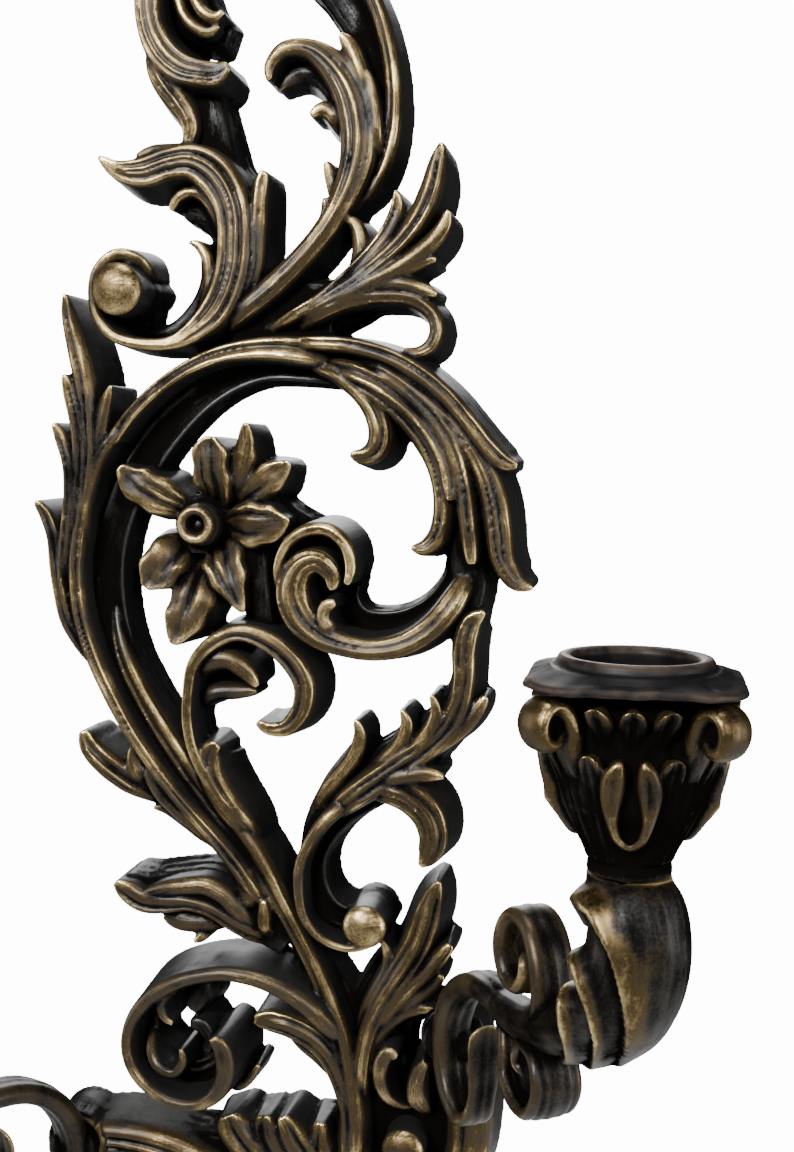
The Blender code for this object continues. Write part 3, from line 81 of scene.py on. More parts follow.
# Carving
PLATE_VOXEL, ARM_VOXEL, CUP_VOXEL = 0.45, 0.42, 0.4  # size of the remesh
EDGE_ROUND = 1.1  # radius of a leaf's rounded edges
BLUNT = 2.4  # length over which a leaf's tip is rounded
ROOT_SINK = (14.0, 8.0)  # length over which a root sinks into its stem, and how deep
TIP_HOLLOW = 0.2  # share of a leaf's width by which its tip is cupped

# Arms and sockets
ARM_TURN = math.radians(31.2)  # turn of the plane that the arm lies in
SLEEVE_R = 13.2
FLANGE_TURN = math.radians(-45)
FLANGE_CORNER_R, FLANGE_SIDE_R = 24.5, 20.5

# Plate's bosses, and the holes that the CAD's screws, dowels, inserts and hanger stand in
BOSS_R = 8.5
ARM_SCREW_R, ARM_SCREW_HEAD_R, DOWEL_R, ARM_INSERT_R = 2.3, 4.8, 1.8, 3.5
CUP_SCREW_R, CUP_SCREW_HEAD_R, CUP_SCREW_SINK = 2.0, 3.8, 3.2
POCKET, POCKET_RISE = (21.4, 4.5, 14.0), 4.0  # width, depth and height, and how far above the strap
HANGER_SCREW_R = 1.3

# Camera, in the plate's drawing
VIEW_TURN, VIEW_DROP, VIEW_ROLL = math.radians(10.2), math.radians(5.0), math.radians(1.0)
VIEW_TARGET, VIEW_DISTANCE, VIEW_LENS = (24.0, -15.0, 131.0), 350.0, 43.75
SKY_GLOW, SKY_FILL = 14.0, 0.03  # surroundings' own light towards the camera, and on the sconce
FLOOR_GLOW = 1.6  # floor's own light towards the camera, so that it stays pale from every side

# Leaves and stems of the plate, each a tapering bar along a smooth line in the wall's plane:
# name: (height at the tip, height at the root, ribs, ((x, z, width), ... from the tip)).
# Ribs 0 is a plain low web, -1 a cove, and 1 or more a crowned leaf with that many ribs.
STROKES = {
    # crest, upper left
    "crest_curl": (18, 18, 4, (
        (-20, 256, 3), (-23.5, 254.4, 6.5), (-27.5, 254.5, 7), (-33, 256, 8), (-38, 260.5, 8),
        (-41, 267, 7), (-41.5, 275, 7), (-39, 284, 7), (-33, 292, 6), (-25, 297, 5))),
    "crest_blade": (15, 18, 3, (
        (-32.6, 236, 1), (-31, 240.5, 4), (-31.5, 244.5, 5.5), (-34, 248.5, 6.5), (-37.5, 253, 6.5),
        (-40.5, 259, 5.5), (-42.3, 266, 3))),
    "crest_lobe_low": (15, 14, 1, (
        (-23.5, 266.5, 1.5), (-26.5, 265.2, 3), (-30.5, 267, 3.2), (-33.5, 271, 3), (-34.5, 277, 3),
        (-32, 284, 3), (-27, 290, 3))),
    "crest_lobe_high": (16, 15, 1, (
        (-22, 269.5, 1.5), (-25, 268.5, 3), (-28.5, 271, 3), (-30, 276, 3), (-28, 282, 3),
        (-23, 288, 3))),
    "crest_web": (10, 10, 0, (
        (-22, 265, 6), (-27, 267, 9), (-32, 272, 12), (-34, 280, 12), (-28, 289, 10), (-18, 295, 8))),
    "crest_stalk": (11, 13, 0, (
        (-28, 252, 7), (-26.5, 245, 8), (-25, 238, 9), (-23, 231, 9))),
    # main upper stem and its volute
    "s_leaf": (17, 18, 4, (
        (-54.3, 234.8, 1.5), (-49.5, 231.7, 5), (-43, 231, 8), (-36, 233, 8.5), (-29.5, 233.3, 9.5),
        (-23.5, 229.5, 11), (-19.5, 222, 10), (-18.8, 212, 9.5), (-20, 204, 9.5), (-23.5, 196.5, 9),
        (-29.5, 191, 6), (-35.7, 188.2, 3.5), (-43.7, 188.2, 3), (-50.2, 190.1, 3),
        (-54.3, 194.6, 2.8), (-55.7, 200.6, 2.4), (-54.5, 206.4, 2.6), (-49.7, 210.4, 3.4),
        (-44.5, 209.2, 4), (-41.7, 204.6, 4))),
    "s_leaf_back": (16, 16, 1, (
        (-44.5, 235, 1.5), (-40.5, 236.3, 3), (-35.5, 236.6, 3), (-30, 236.5, 3), (-24.5, 234.5, 4),
        (-19.5, 230, 4), (-16, 224, 3))),
    "s_leaf_curl": (13, 15, 1, (
        (-36.5, 222, 2), (-34.5, 225.3, 2.6), (-30.5, 226.4, 2.6), (-26.5, 224, 3), (-23.8, 219, 3),
        (-22.3, 212, 3))),
    "s_leaf_curl_web": (9, 9, 0, (
        (-34.5, 221.5, 4), (-31, 222.5, 7), (-27, 220, 6), (-24, 215, 5))),
    "stem_hook": (15, 15, 1, (
        (-31, 213.8, 1), (-28.4, 212.8, 2.5), (-26.3, 209.3, 3), (-25.8, 204, 3), (-27.3, 198.5, 3),
        (-31, 193.5, 3))),
    "stem_hook_web": (9, 9, 0, (
        (-28.5, 211, 3), (-28, 205, 4), (-30, 198, 6), (-36, 192.5, 5), (-44, 190.5, 3))),
    "rolled_stem": (16, 16, 2, (
        (-11.4, 231, 2.4), (-12.6, 226, 4.4), (-13, 216, 4.6), (-13.5, 207, 4.6), (-16.5, 199, 5),
        (-22, 192.5, 5))),
    "volute_button": (22, 22, 0, (
        (-47.7, 205.7, 7.5), (-47.7, 201.4, 12.4), (-47.7, 197.1, 7.5))),
    "volute_web": (9, 9, 0, (
        (-49, 209, 8), (-49, 202, 14), (-49, 194, 12), (-49, 190, 6))),
    # hooked acanthus, upper right
    "hook_leaf": (15, 17, 5, (
        (-10.6, 252.9, 1.6), (-10.3, 256.7, 3), (-6.8, 260.4, 4), (-0.8, 260.4, 5), (4.7, 256.9, 7.5),
        (9.2, 250.9, 9), (11.7, 243.4, 9.7), (12.1, 235.4, 9.4), (10.3, 227.9, 8), (6.7, 220.4, 6.4),
        (2.2, 213.9, 6), (-3.3, 207.9, 6), (-9.8, 201.9, 6), (-17.3, 195.9, 5), (-25.3, 189.9, 4))),
    "hook_leaf_inner": (10, 12, 1, (
        (-9.3, 251.5, 1), (-7, 254, 3), (-3, 255.8, 4.5), (2, 254.5, 6), (6, 250, 6), (8.5, 244, 4))),
    "hook_tooth_a": (15, 15, 1, (
        (7.3, 263.5, 2), (9.2, 261.3, 3.8), (11.6, 256.5, 3.8), (13.6, 250.5, 3.6), (14.8, 243, 3))),
    "hook_tooth_b": (15, 15, 1, (
        (14.2, 254.4, 1.4), (15.2, 250, 2.5), (16.5, 244, 2.6), (16.8, 237, 2.6), (15.5, 230, 2.4))),
    "hook_lobe": (13, 14, 1, (
        (-0.4, 244.6, 1.8), (2.6, 246.2, 4), (5.6, 244.4, 4.4), (8, 239.5, 4))),
    "hook_tooth_c": (14, 14, 1, (
        (4, 233.2, 2), (5, 230, 3.2), (6, 225, 3), (6, 220, 2.6))),
    "hook_tooth_d": (11, 12, 1, (
        (3, 225, 1.2), (3, 220.5, 2.4), (0.5, 214.5, 3), (-4, 208.5, 3))),
    "bead_stem": (12, 13, 2, (
        (9.2, 221, 2), (12, 223.5, 3), (15.6, 228, 4.4), (18.3, 234, 4.8), (20, 241, 4.6),
        (20.3, 249, 4.5), (19.5, 257, 4.4), (17.8, 264.5, 4.3), (15.3, 271.5, 4.2), (11.3, 278.5, 4.2),
        (5.5, 284.5, 4.2), (-2, 289.5, 4.2), (-10, 293, 4.2))),
    "bead_stem_web": (8, 8, 0, (
        (17.3, 236, 3), (17, 244, 4), (16.3, 251, 6), (14.3, 258, 7), (12, 265, 8), (8.5, 271, 9),
        (3.5, 277.5, 9), (-3, 283, 9), (-11, 288.5, 9))),
    "bud_leaf": (15, 15, 1, (
        (9.3, 219.6, 1.4), (12, 217.3, 3.4), (13.2, 212.5, 4.6), (12, 206.5, 4.4), (8.5, 201.5, 4),
        (3, 197, 3))),
    # right spray
    "spray_a": (19, 17, 2, (
        (33.7, 236.2, 1.4), (32.4, 231.5, 4.6), (31, 225.5, 6.2), (28.3, 219.3, 6.4), (23.5, 213, 5.6),
        (17, 207.3, 4.6), (9.5, 202, 4), (1, 197, 3.4), (-8, 192.5, 3))),
    "spray_b": (18, 16, 2, (
        (22.6, 225.2, 1.4), (22.6, 220.8, 3.8), (20.6, 215.8, 4.6), (16.6, 210.6, 4.4),
        (10.5, 204.8, 4), (3.5, 199.3, 3.6), (-5, 194.5, 3.2), (-14, 190.5, 3))),
    "spray_c": (19, 17, 1, (
        (35.6, 220, 1.8), (34, 215.8, 4), (30, 211.4, 4.6), (24, 207.3, 4.2), (16, 203.3, 3.8),
        (7, 198.8, 3.4), (-3, 194, 3))),
    "spray_d": (18, 17, 1, (
        (32.8, 208.8, 1.4), (28.6, 207.8, 3), (23, 205.4, 4), (16, 202, 4), (8, 198.2, 3.6),
        (-1, 194, 3.2))),
    "spray_e": (18, 17, 1, (
        (33, 200.2, 1.8), (29, 201.6, 3.4), (23.5, 203, 3.2), (17, 202, 3.2), (10, 199.2, 3.4))),
    "spray_hook": (17, 17, 2, (
        (25, 187, 1.6), (28, 186.2, 3), (31.4, 187.8, 4), (32.9, 191.8, 4), (31.3, 196.2, 4),
        (26.3, 199.3, 4), (18, 199.8, 4), (9.5, 198.2, 4), (2, 195, 4), (-6, 191.5, 4))),
    "spray_web": (11, 11, 0, (
        (31, 226, 4), (27, 217, 8), (20, 208.5, 12), (11, 201.5, 12), (1, 196, 11), (-10, 192.5, 12),
        (-20, 190, 9))),
    # ring, top and right acanthus
    "ring_crown": (17, 19, 2, (
        (-51, 163.5, 4), (-45.3, 170.6, 4), (-38.5, 176.8, 4.2), (-30.5, 182, 4.4), (-21.5, 185.6, 5),
        (-11.5, 187, 6), (-1.5, 186.6, 7), (8, 185, 8))),
    "ring_cove": (11, 11, -1, (
        (10, 181, 5), (-1, 182.3, 6), (-12, 182.3, 6), (-22, 179.3, 7), (-31, 173.5, 8),
        (-38.8, 165.8, 9), (-45, 157, 9), (-49.8, 148, 8.5), (-53, 138, 8.5), (-54, 128, 8.5),
        (-53, 118.5, 8), (-50.3, 109, 7.5), (-46, 100, 7), (-40.5, 91, 6))),
    "acanthus_top": (20, 18, 2, (
        (53.8, 159.1, 1.8), (50.3, 159.9, 4.4), (46.1, 163.8, 4.8), (41.8, 169.1, 4.6),
        (36.1, 175.5, 4.6), (29.1, 181.1, 4.6), (21, 185.3, 4.6), (11, 187.9, 4), (-0.5, 188.5, 3.4),
        (-10.5, 188.3, 2.6))),
    "acanthus_right": (20, 18, 3, (
        (58.2, 129.3, 1.4), (53.8, 131.1, 5), (50.6, 136.5, 6.4), (49.4, 143.7, 7), (48.2, 150.7, 7),
        (45.7, 157.7, 6.4), (41.7, 164.5, 6), (36.2, 171, 6), (28.9, 177.2, 6), (20.4, 182.3, 5),
        (10.4, 185.5, 4))),
    "acanthus_mid": (20, 18, 2, (
        (43.2, 134.8, 2.4), (42.6, 139.8, 4.4), (41.6, 147, 5), (40.3, 155, 5), (37.8, 163, 5),
        (33.5, 170, 5), (27, 176.3, 5), (19, 181.5, 5), (9, 184.3, 4))),
    "acanthus_bud": (20, 18, 2, (
        (37.6, 150.3, 2.6), (37.4, 154.5, 4.2), (35.8, 160.6, 4.6), (32.4, 166.8, 4.8), (27, 172.8, 5),
        (19.5, 178.3, 5), (11, 182, 5), (2, 184.3, 4))),
    "acanthus_left": (18, 17, 2, (
        (27.8, 138.4, 1.4), (31, 138.2, 4.2), (34.2, 141.4, 5.4), (35.4, 147.5, 5.4), (34.6, 154.5, 5),
        (32, 161.5, 5), (27.6, 168, 5), (21, 174, 5), (13, 179, 5), (4, 182, 4))),
    "acanthus_hook": (17, 17, 2, (
        (11.8, 161.2, 1.8), (15, 160.6, 4.8), (18.2, 162.6, 6.2), (19, 167.3, 6.4), (17, 172.8, 6),
        (12.8, 177.6, 5.4), (6.5, 181.6, 4.6), (-2, 184, 4))),
    "acanthus_web": (13, 13, 0, (
        (44, 132, 8), (43.5, 140, 14), (43, 148, 17), (40, 157, 17), (35, 166, 16), (27, 174.5, 14),
        (16, 181, 11))),
    # left fronds on the ring
    "frond_a": (20, 17, 2, (
        (-62.2, 200.4, 1.4), (-61.6, 194.5, 4.2), (-59.8, 186.5, 5.8), (-58, 178.5, 6.2),
        (-57.2, 170, 5.4), (-56.8, 161, 5), (-57.8, 152, 4.6), (-59.2, 142, 4.4), (-59.8, 131, 4))),
    "frond_b": (18, 17, 1, (
        (-50.5, 177.6, 1), (-52.2, 173.6, 3.2), (-53.7, 168, 4), (-55.2, 161, 4), (-56.8, 153, 3.4),
        (-58.4, 143, 3))),
    "frond_c": (19, 17, 2, (
        (-63, 180.2, 1.8), (-61.7, 175.2, 4), (-60, 168, 4.6), (-59.4, 160, 4.6), (-60, 150, 4.4),
        (-61.4, 140, 4.2), (-62, 129, 4))),
    "frond_d": (18, 17, 2, (
        (-66.2, 167.8, 1.8), (-64.2, 163.2, 4), (-62.4, 157, 4.2), (-62.2, 149, 4.2),
        (-63.2, 140, 4.2), (-63.8, 131, 4), (-63.2, 121, 3.6))),
    "frond_e": (17, 16, 2, (
        (-71.8, 147.6, 1.8), (-69.2, 143.8, 3.8), (-67.2, 138.2, 4.2), (-66.6, 131, 4.2),
        (-65.6, 124, 4), (-63.6, 116, 4), (-58.2, 107.5, 3.6), (-53, 99.5, 3))),
    "outer_stem": (17, 18, 2, (
        (-49.5, 166, 3), (-54.5, 158.5, 3.6), (-57.8, 149, 4), (-60, 139, 4.4), (-60.8, 129, 4.6),
        (-59.8, 119, 4.8), (-56.8, 109, 4.8), (-52.4, 99.5, 4.6), (-47, 90, 4.4), (-41.2, 81.8, 4.2),
        (-35.4, 74.6, 4.2), (-29.2, 67.8, 4.6), (-22.8, 61.2, 5), (-16.8, 54.5, 5), (-12, 47.5, 4.4),
        (-7, 40, 3.6))),
    "inner_stem": (13, 18, 2, (
        (-53.5, 128, 4), (-52.4, 118, 5), (-49.6, 108.5, 6), (-45.3, 99.5, 6), (-39.8, 90.5, 6.2),
        (-33.6, 81.8, 6.4), (-27.4, 74, 6.6), (-21, 66.8, 7), (-14.8, 59.6, 7.4), (-9.8, 52.4, 7),
        (-5.6, 45, 6), (-1, 37.4, 5.4), (3.2, 29.6, 5.2), (7, 21.4, 5.4), (10.2, 13, 6),
        (12.6, 4, 6.4), (14.2, -6, 7), (14.8, -16, 7.6), (13, -28, 8))),
    # flower
    "petal_left": (17, 15, 3, (
        (-48.8, 157, 2), (-45.6, 153.4, 6.8), (-40.2, 150.2, 8.6), (-35, 147.2, 7.4), (-31, 144.6, 5))),
    "petal_top": (18, 16, 3, (
        (-24.3, 165, 3), (-24.6, 161.6, 6.8), (-24.5, 156, 7.6), (-24, 151, 8.4), (-25, 146.6, 6))),
    "petal_blade": (17, 14, 1, (
        (-15.3, 168.6, 1.2), (-15.7, 163.3, 4), (-17, 157, 5), (-18.7, 151, 5), (-22, 146.6, 4))),
    "petal_corner": (17, 14, 2, (
        (-3.6, 158.8, 1.2), (-6.8, 156.4, 4.6), (-11, 153.4, 6), (-15.8, 150.2, 5.4), (-21, 146, 4))),
    "petal_right": (18, 16, 3, (
        (-3.4, 144.4, 1.6), (-7, 143.4, 7), (-12.5, 143, 10.4), (-18, 143, 9.6), (-23, 142.8, 6))),
    "petal_low_right": (17, 15, 3, (
        (-15.5, 120.4, 1), (-18.2, 125.6, 5.6), (-20.6, 130.8, 9.6), (-22.8, 135.6, 10.4),
        (-25.8, 140, 6))),
    "petal_low": (16, 13, 2, (
        (-34.4, 111.2, 2), (-33.2, 115, 7), (-31.2, 120, 9.6), (-29.4, 126, 9.6), (-28.2, 134, 7))),
    "petal_low_left": (15, 13, 2, (
        (-42.6, 125.6, 3), (-39.8, 129.6, 9.4), (-36.4, 134.2, 10.4), (-31.5, 139, 8))),
    "flower_hub": (13, 13, 0, (
        (-28, 150, 6), (-28, 142.4, 15), (-28, 135, 6))),
    "flower_stem": (12, 12, 0, (
        (-17, 146, 6), (-14.5, 137, 7), (-13.2, 128, 7), (-12.6, 117, 8))),
    "flower_tie": (10, 10, 0, (
        (-9, 147, 6), (-4, 143, 7), (1, 140, 8))),
    # comma volute
    "comma_rim": (21, 18, 2, (
        (12.3, 128.8, 1.8), (13, 133.4, 3), (11.4, 138.8, 3.5), (7, 142.2, 3.6), (1.3, 142, 3.3),
        (-3.6, 138.6, 2.6), (-6.2, 133, 2.2), (-6.4, 127, 1.8), (-4.8, 121, 1.6))),
    "comma_body": (18, 19, 4, (
        (8, 127, 1.6), (7.4, 131.2, 4), (3.6, 134.2, 5), (-0.8, 132.2, 6), (-2.8, 126.4, 6.8),
        (-0.8, 120.2, 7), (4.4, 115.6, 6), (11, 113.2, 4.8), (18, 112.4, 4.6), (25, 113.6, 4.8),
        (31, 116.8, 5), (36, 121.6, 5), (39.8, 127.8, 4.8), (41.8, 134.6, 4))),
    "comma_eye": (19, 19, 1, (
        (9, 124, 1.2), (6.6, 123, 1.9), (5.8, 120.2, 2), (7.4, 117.2, 2.2), (11, 115.4, 2))),
    "comma_cove": (9, 9, -1, (
        (38.4, 136, 6), (37.2, 129.6, 6), (32.4, 123.2, 6), (26, 119.4, 6), (19.4, 118.2, 6),
        (13.6, 119.2, 6), (9.6, 123, 8), (6.6, 129.5, 14), (1.5, 134.5, 12))),
    "comma_web": (9, 9, 0, (
        (7, 133, 5), (5, 137.5, 7), (1, 138.5, 7), (-2, 135, 6))),
    "comma_tie": (14, 14, 0, (
        (42, 142, 10), (42, 134, 9.5), (42.2, 127, 8), (41.5, 120, 6))),
    # curl under the flower
    "curl_rim": (18, 18, 3, (
        (-11.4, 92.6, 1.8), (-8.4, 90.9, 3.4), (-3.6, 91.4, 4.6), (0, 95.8, 5.6), (0.8, 102, 6),
        (-1.8, 107.4, 6.2), (-7, 112.2, 5.8), (-13.6, 115, 5), (-19.1, 114.7, 4.4), (-24.9, 111.2, 4),
        (-28.7, 106.2, 3.4), (-29.9, 99.5, 3), (-30.1, 92.5, 3), (-28.9, 85.5, 3), (-25.9, 78.8, 3),
        (-21.7, 72.4, 3), (-16.7, 66, 3), (-12.6, 59.4, 3))),
    "curl_leaf": (16, 16, 1, (
        (-11.8, 101.4, 1.2), (-15, 105, 3.4), (-19.8, 107.9, 3.7), (-25, 107.2, 3.7),
        (-29, 103.8, 3.4), (-31, 98.5, 2.4))),
    "curl_leaf_low": (12, 13, 1, (
        (-13, 99.6, 1), (-18, 99, 2.6), (-24, 98.6, 3), (-28.4, 96.2, 3), (-30.8, 92, 2.4))),
    "curl_web": (8, 8, 0, (
        (-14, 100.5, 3), (-20, 103, 8), (-26.5, 102, 9), (-30, 96, 5), (-30.5, 88, 3))),
    "stem_leaf": (18, 17, 3, (
        (-21.8, 86.2, 2), (-24, 83.6, 4.6), (-24, 78.4, 5.4), (-20.8, 72, 5.6), (-16.2, 65.4, 5.2),
        (-11, 58, 5))),
    # lower left of the trunk
    "low_leaf": (16, 16, 3, (
        (-59.4, 87.4, 2.4), (-57.6, 82.8, 5), (-53.2, 78.6, 6), (-47.8, 75, 6), (-42.4, 71.6, 5),
        (-36.6, 67.4, 4))),
    "bud_a": (16, 16, 1, (
        (-44.6, 85, 1.8), (-45.2, 80.4, 4), (-43.8, 75.6, 3.8), (-40.6, 71.6, 3))),
    "bud_b": (17, 17, 1, (
        (-39.6, 80.4, 2.4), (-39.8, 76.6, 4.2), (-37.2, 72, 4), (-32.6, 67.6, 3.6), (-26.6, 63, 3.4),
        (-20, 57.8, 3.2), (-14.6, 52, 3))),
    "thorn_leaf": (14, 15, 1, (
        (-40.4, 67.6, 1.2), (-36.6, 67.2, 3), (-31, 63.8, 3.2), (-25, 59.6, 3.2), (-19, 55, 3))),
    "trunk_web": (10, 10, 0, (
        (-60, 118, 6), (-55, 106, 9), (-46, 92, 10), (-36, 78, 11), (-25, 66, 12), (-14, 54, 11),
        (-5, 41, 9), (3, 28, 9), (10, 14, 12), (14, 0, 12), (16, -14, 14), (14, -28, 14))),
    # left spray
    "left_spray_top": (18, 18, 1, (
        (-41.4, 45.4, 1.6), (-36.4, 46.8, 3), (-30.4, 47.9, 3.6), (-25, 48.3, 4), (-20.4, 46.4, 4),
        (-16.8, 42.8, 3.6), (-13.4, 38.4, 3), (-9, 33.5, 3))),
    "left_spray_main": (18, 17, 2, (
        (-49.6, 48, 1.6), (-46.6, 45.5, 4.4), (-42, 43.2, 5), (-36.2, 42.8, 4), (-30, 43.4, 3.2),
        (-24, 42.2, 3.2), (-18.4, 39.2, 3.2), (-12.8, 35.8, 3.2), (-6, 31.8, 3))),
    "left_spray_web": (14, 14, 0, (
        (-48, 48.2, 3), (-42, 45.8, 6), (-35, 45.8, 8), (-27, 46.2, 9), (-19, 42.7, 9), (-12, 38.2, 9),
        (-4, 33.2, 7))),
    "left_spray_low": (16, 16, 1, (
        (-36.8, 39.2, 1.6), (-33.4, 38, 3.8), (-28.4, 37.8, 4.2), (-22.4, 38.4, 4), (-16.4, 38.2, 3.4))),
    "left_spray_curl": (17, 15, 1, (
        (-28.2, 33.2, 1.6), (-26.4, 34.4, 3), (-24.4, 37.2, 3.2))),
    "bud_c": (17, 17, 1, (
        (-13.8, 53.6, 2.6), (-14, 49.4, 5), (-13.8, 44.6, 4.8), (-12.6, 39.6, 3.6))),
    "bud_d": (17, 17, 1, (
        (-9.4, 45.6, 1.8), (-9.4, 42, 3.6), (-9.2, 38, 3.4), (-7.4, 33.6, 3))),
    # big lower scroll
    "scroll_rim": (24, 20, 1, (
        (-20.9, 10.6, 2.6), (-18.5, 7.4, 5), (-17.6, 1.4, 5.4), (-19.3, -3.8, 4.6), (-23.6, -7.6, 3.4),
        (-29.5, -8.6, 3.2), (-35.4, -7, 3), (-40.3, -3.8, 3), (-43.7, 0.7, 3), (-44.9, 6.2, 3),
        (-43.7, 11.9, 3.4), (-40.7, 16.6, 4), (-36.4, 20.5, 4.4), (-30.9, 23.7, 4), (-25, 25.6, 3.8),
        (-19.1, 26.6, 3.8), (-13.2, 26.3, 4.2), (-7.3, 24.9, 4.6), (-1.4, 22.3, 5), (4.1, 18.6, 5),
        (8.8, 13.3, 5), (12.7, 6.4, 5))),
    "scroll_inner": (21, 20, 1, (
        (-32.5, 12.3, 1.6), (-35.2, 14, 2.4), (-35.8, 17.6, 2.6), (-32.9, 21.3, 2.6), (-28, 23.7, 2.4))),
    "scroll_petal": (14, 14, 0, (
        (-25.2, 21.5, 3), (-27, 17.8, 6), (-29.9, 13.7, 5))),
    "scroll_tail": (20, 20, 1, (
        (-30.5, 5.2, 1.6), (-30.1, 1.5, 2.6), (-32.5, -1.5, 3), (-36.2, -0.7, 3.4), (-39.4, 2.9, 3.4),
        (-41.1, 7.8, 3))),
    "scroll_pad": (15, 15, 0, (
        (-29.7, 10.3, 3), (-26.6, 9.9, 4.6), (-24.2, 6.6, 3.6), (-25, 2.9, 3))),
    "scroll_basin": (13, 13, 3, (
        (-41.7, 10.7, 5), (-40.7, 2.9, 7), (-35.8, -2.1, 8), (-28.9, -4, 9), (-23, -1.6, 8),
        (-20.1, 3.8, 6))),
    "scroll_foot": (14, 14, 1, (
        (-10.9, 0.3, 1.6), (-14.2, -4.6, 2.6), (-18.1, -7.2, 3), (-21.1, -9.9, 3))),
    # leaf left of the boss
    "side_leaf": (17, 17, 3, (
        (-11.8, 13.6, 3), (-7.6, 13.4, 6.2), (-2, 12.4, 7), (4, 9.6, 7), (8.8, 5, 7), (12.4, -2, 7),
        (14.4, -10, 6.6), (14.6, -20, 6.6))),
    "side_leaf_low": (15, 15, 1, (
        (-2.3, 9.7, 1.8), (1.1, 7.1, 4), (5.7, 4.1, 5), (10.1, -0.5, 5), (12.7, -7.3, 5))),
    # right branch
    "branch_main": (17, 18, 3, (
        (46.3, 123, 1.4), (42.8, 119.6, 5.6), (41.3, 113.2, 6.4), (41.4, 106, 6), (40.2, 99, 6),
        (36.6, 92.4, 6.6), (31, 87, 7.4), (24.6, 82.2, 8), (17.8, 77.2, 7.6), (11, 71.8, 6.6),
        (5.6, 65.6, 5))),
    "branch_rim": (20, 18, 1, (
        (21.2, 38.6, 1.4), (18, 36.7, 1.8), (13.6, 35.7, 2), (8.4, 36.8, 2.2), (4.4, 39.4, 2.4),
        (1.6, 43.4, 2.6), (0.4, 49, 2.8), (0.4, 55.4, 3), (2.6, 61.4, 3.2), (6, 66.8, 3.6),
        (11, 71.8, 4), (17, 76.2, 4))),
    "branch_cove": (13, 13, -1, (
        (16.6, 41.6, 6), (11, 41.6, 6), (6, 44.6, 6.4), (3, 50.6, 6.8), (3.2, 57.8, 6.8),
        (6.4, 64.2, 6.6), (11.6, 69.6, 6.4), (18, 73.6, 6))),
    "branch_ball": (19, 19, 0, (
        (17.7, 45, 5.4), (17.7, 41.5, 9.4), (17.7, 38, 5.4))),
    "branch_lobe_a": (16, 16, 1, (
        (14, 94.2, 1.6), (15.1, 90, 3.4), (13.6, 84.6, 4.2), (9.6, 79, 4.4), (5, 72.8, 4.2), (2, 66, 4))),
    "branch_lobe_b": (17, 17, 1, (
        (26, 97.6, 1.4), (27.3, 93.6, 3.4), (26, 89, 4.2), (22, 84, 4.4), (15.8, 78.6, 4.4))),
    "branch_lobe_c": (18, 17, 1, (
        (33.6, 101.8, 1.4), (34.8, 97.2, 3), (33, 91.8, 4.2), (29, 87, 4.6), (22.6, 81.6, 4.4))),
    "branch_lobe_d": (16, 17, 1, (
        (47.2, 101.6, 1.8), (45, 98.4, 4), (41.4, 94, 5), (36.4, 89.6, 4.8), (30, 85.4, 4.6),
        (23, 80.8, 4.4))),
    "branch_web": (12, 12, 0, (
        (41.4, 112, 5), (40.4, 100, 8), (34, 90, 10), (24, 82, 12), (13, 75.5, 11), (4.5, 67, 8),
        (1, 57, 5))),
    "hanging_curl": (17, 18, 4, (
        (31.4, 57.6, 1.8), (33.4, 60.4, 6), (34.5, 65.4, 8), (32.4, 71.2, 8.8), (26.6, 75.6, 8.6),
        (19.6, 76.2, 7.4), (13, 73.6, 6))),
    "hanging_lobe": (18, 17, 1, (
        (37.2, 81.2, 1.6), (33, 81.4, 4), (27, 80.6, 5), (21, 78.4, 5.4), (14.6, 74.6, 5))),
    # fan at the right arm
    "fan_a": (18, 17, 3, (
        (36.4, 54.4, 1.8), (34.8, 49.6, 5.6), (33, 43.6, 7.6), (30.8, 37, 8), (27.4, 30.4, 7.4),
        (23.4, 24, 6.2), (20, 17, 5.4), (17.8, 9, 4.6), (16.8, 0, 4.4), (16.6, -10, 4.4))),
    "fan_b": (17, 17, 1, (
        (39.7, 37.8, 2.2), (37, 34.4, 4), (33.4, 29.8, 4.4), (29, 25, 4.6), (24.2, 19.4, 4.4),
        (20.4, 13, 4), (18.4, 5, 3.6))),
    "fan_c": (16, 16, 1, (
        (37.8, 29.2, 1.8), (34.6, 26.4, 4.4), (30.2, 22.4, 5), (25.4, 17.4, 4.6), (21.6, 11.4, 4))),
    "fan_d": (16, 16, 1, (
        (35.8, 20, 1.8), (31.6, 19.8, 3), (27, 18, 4), (23, 14.4, 4.2), (20, 9, 4.2), (18, 2, 4),
        (17.4, -6, 4))),
    "fan_e": (16, 16, 1, (
        (21.6, 37.4, 1.2), (23.4, 33.4, 3), (23, 28.6, 4), (20.2, 23, 4), (17.2, 16, 3.6),
        (15.6, 8, 3.4))),
    "fan_web": (9, 9, 0, (
        (33, 44, 6), (30, 33, 12), (24, 22, 17), (20, 10, 18), (20, -2, 18), (22, -14, 20))),
    "fan_curl": (20, 17, 1, (
        (27, 8.6, 2), (24.4, 8.8, 3.8), (22.5, 5.2, 4), (22.3, 0.6, 3.6), (24.2, -3.8, 2.8),
        (27.8, -7.2, 2), (31.4, -8.8, 1.6))),
    # lower end
    "foot_leaf_a": (17, 16, 2, (
        (-19, -13.5, 4), (-17, -18, 7), (-12, -24, 7), (-6, -31, 6))),
    "foot_leaf_b": (16, 16, 2, (
        (-9.5, -13, 3), (-8, -19, 6), (-3, -26, 6), (1, -33, 5))),
    "foot_leaf_c": (17, 16, 2, (
        (-4, -12, 2), (-1, -18, 5), (3, -24, 5), (6, -32, 4))),
    "foot_leaf_d": (16, 16, 2, (
        (6, -13, 2), (6, -20, 4), (8, -27, 4), (10, -34, 4))),
    "foot_web": (12, 12, 0, (
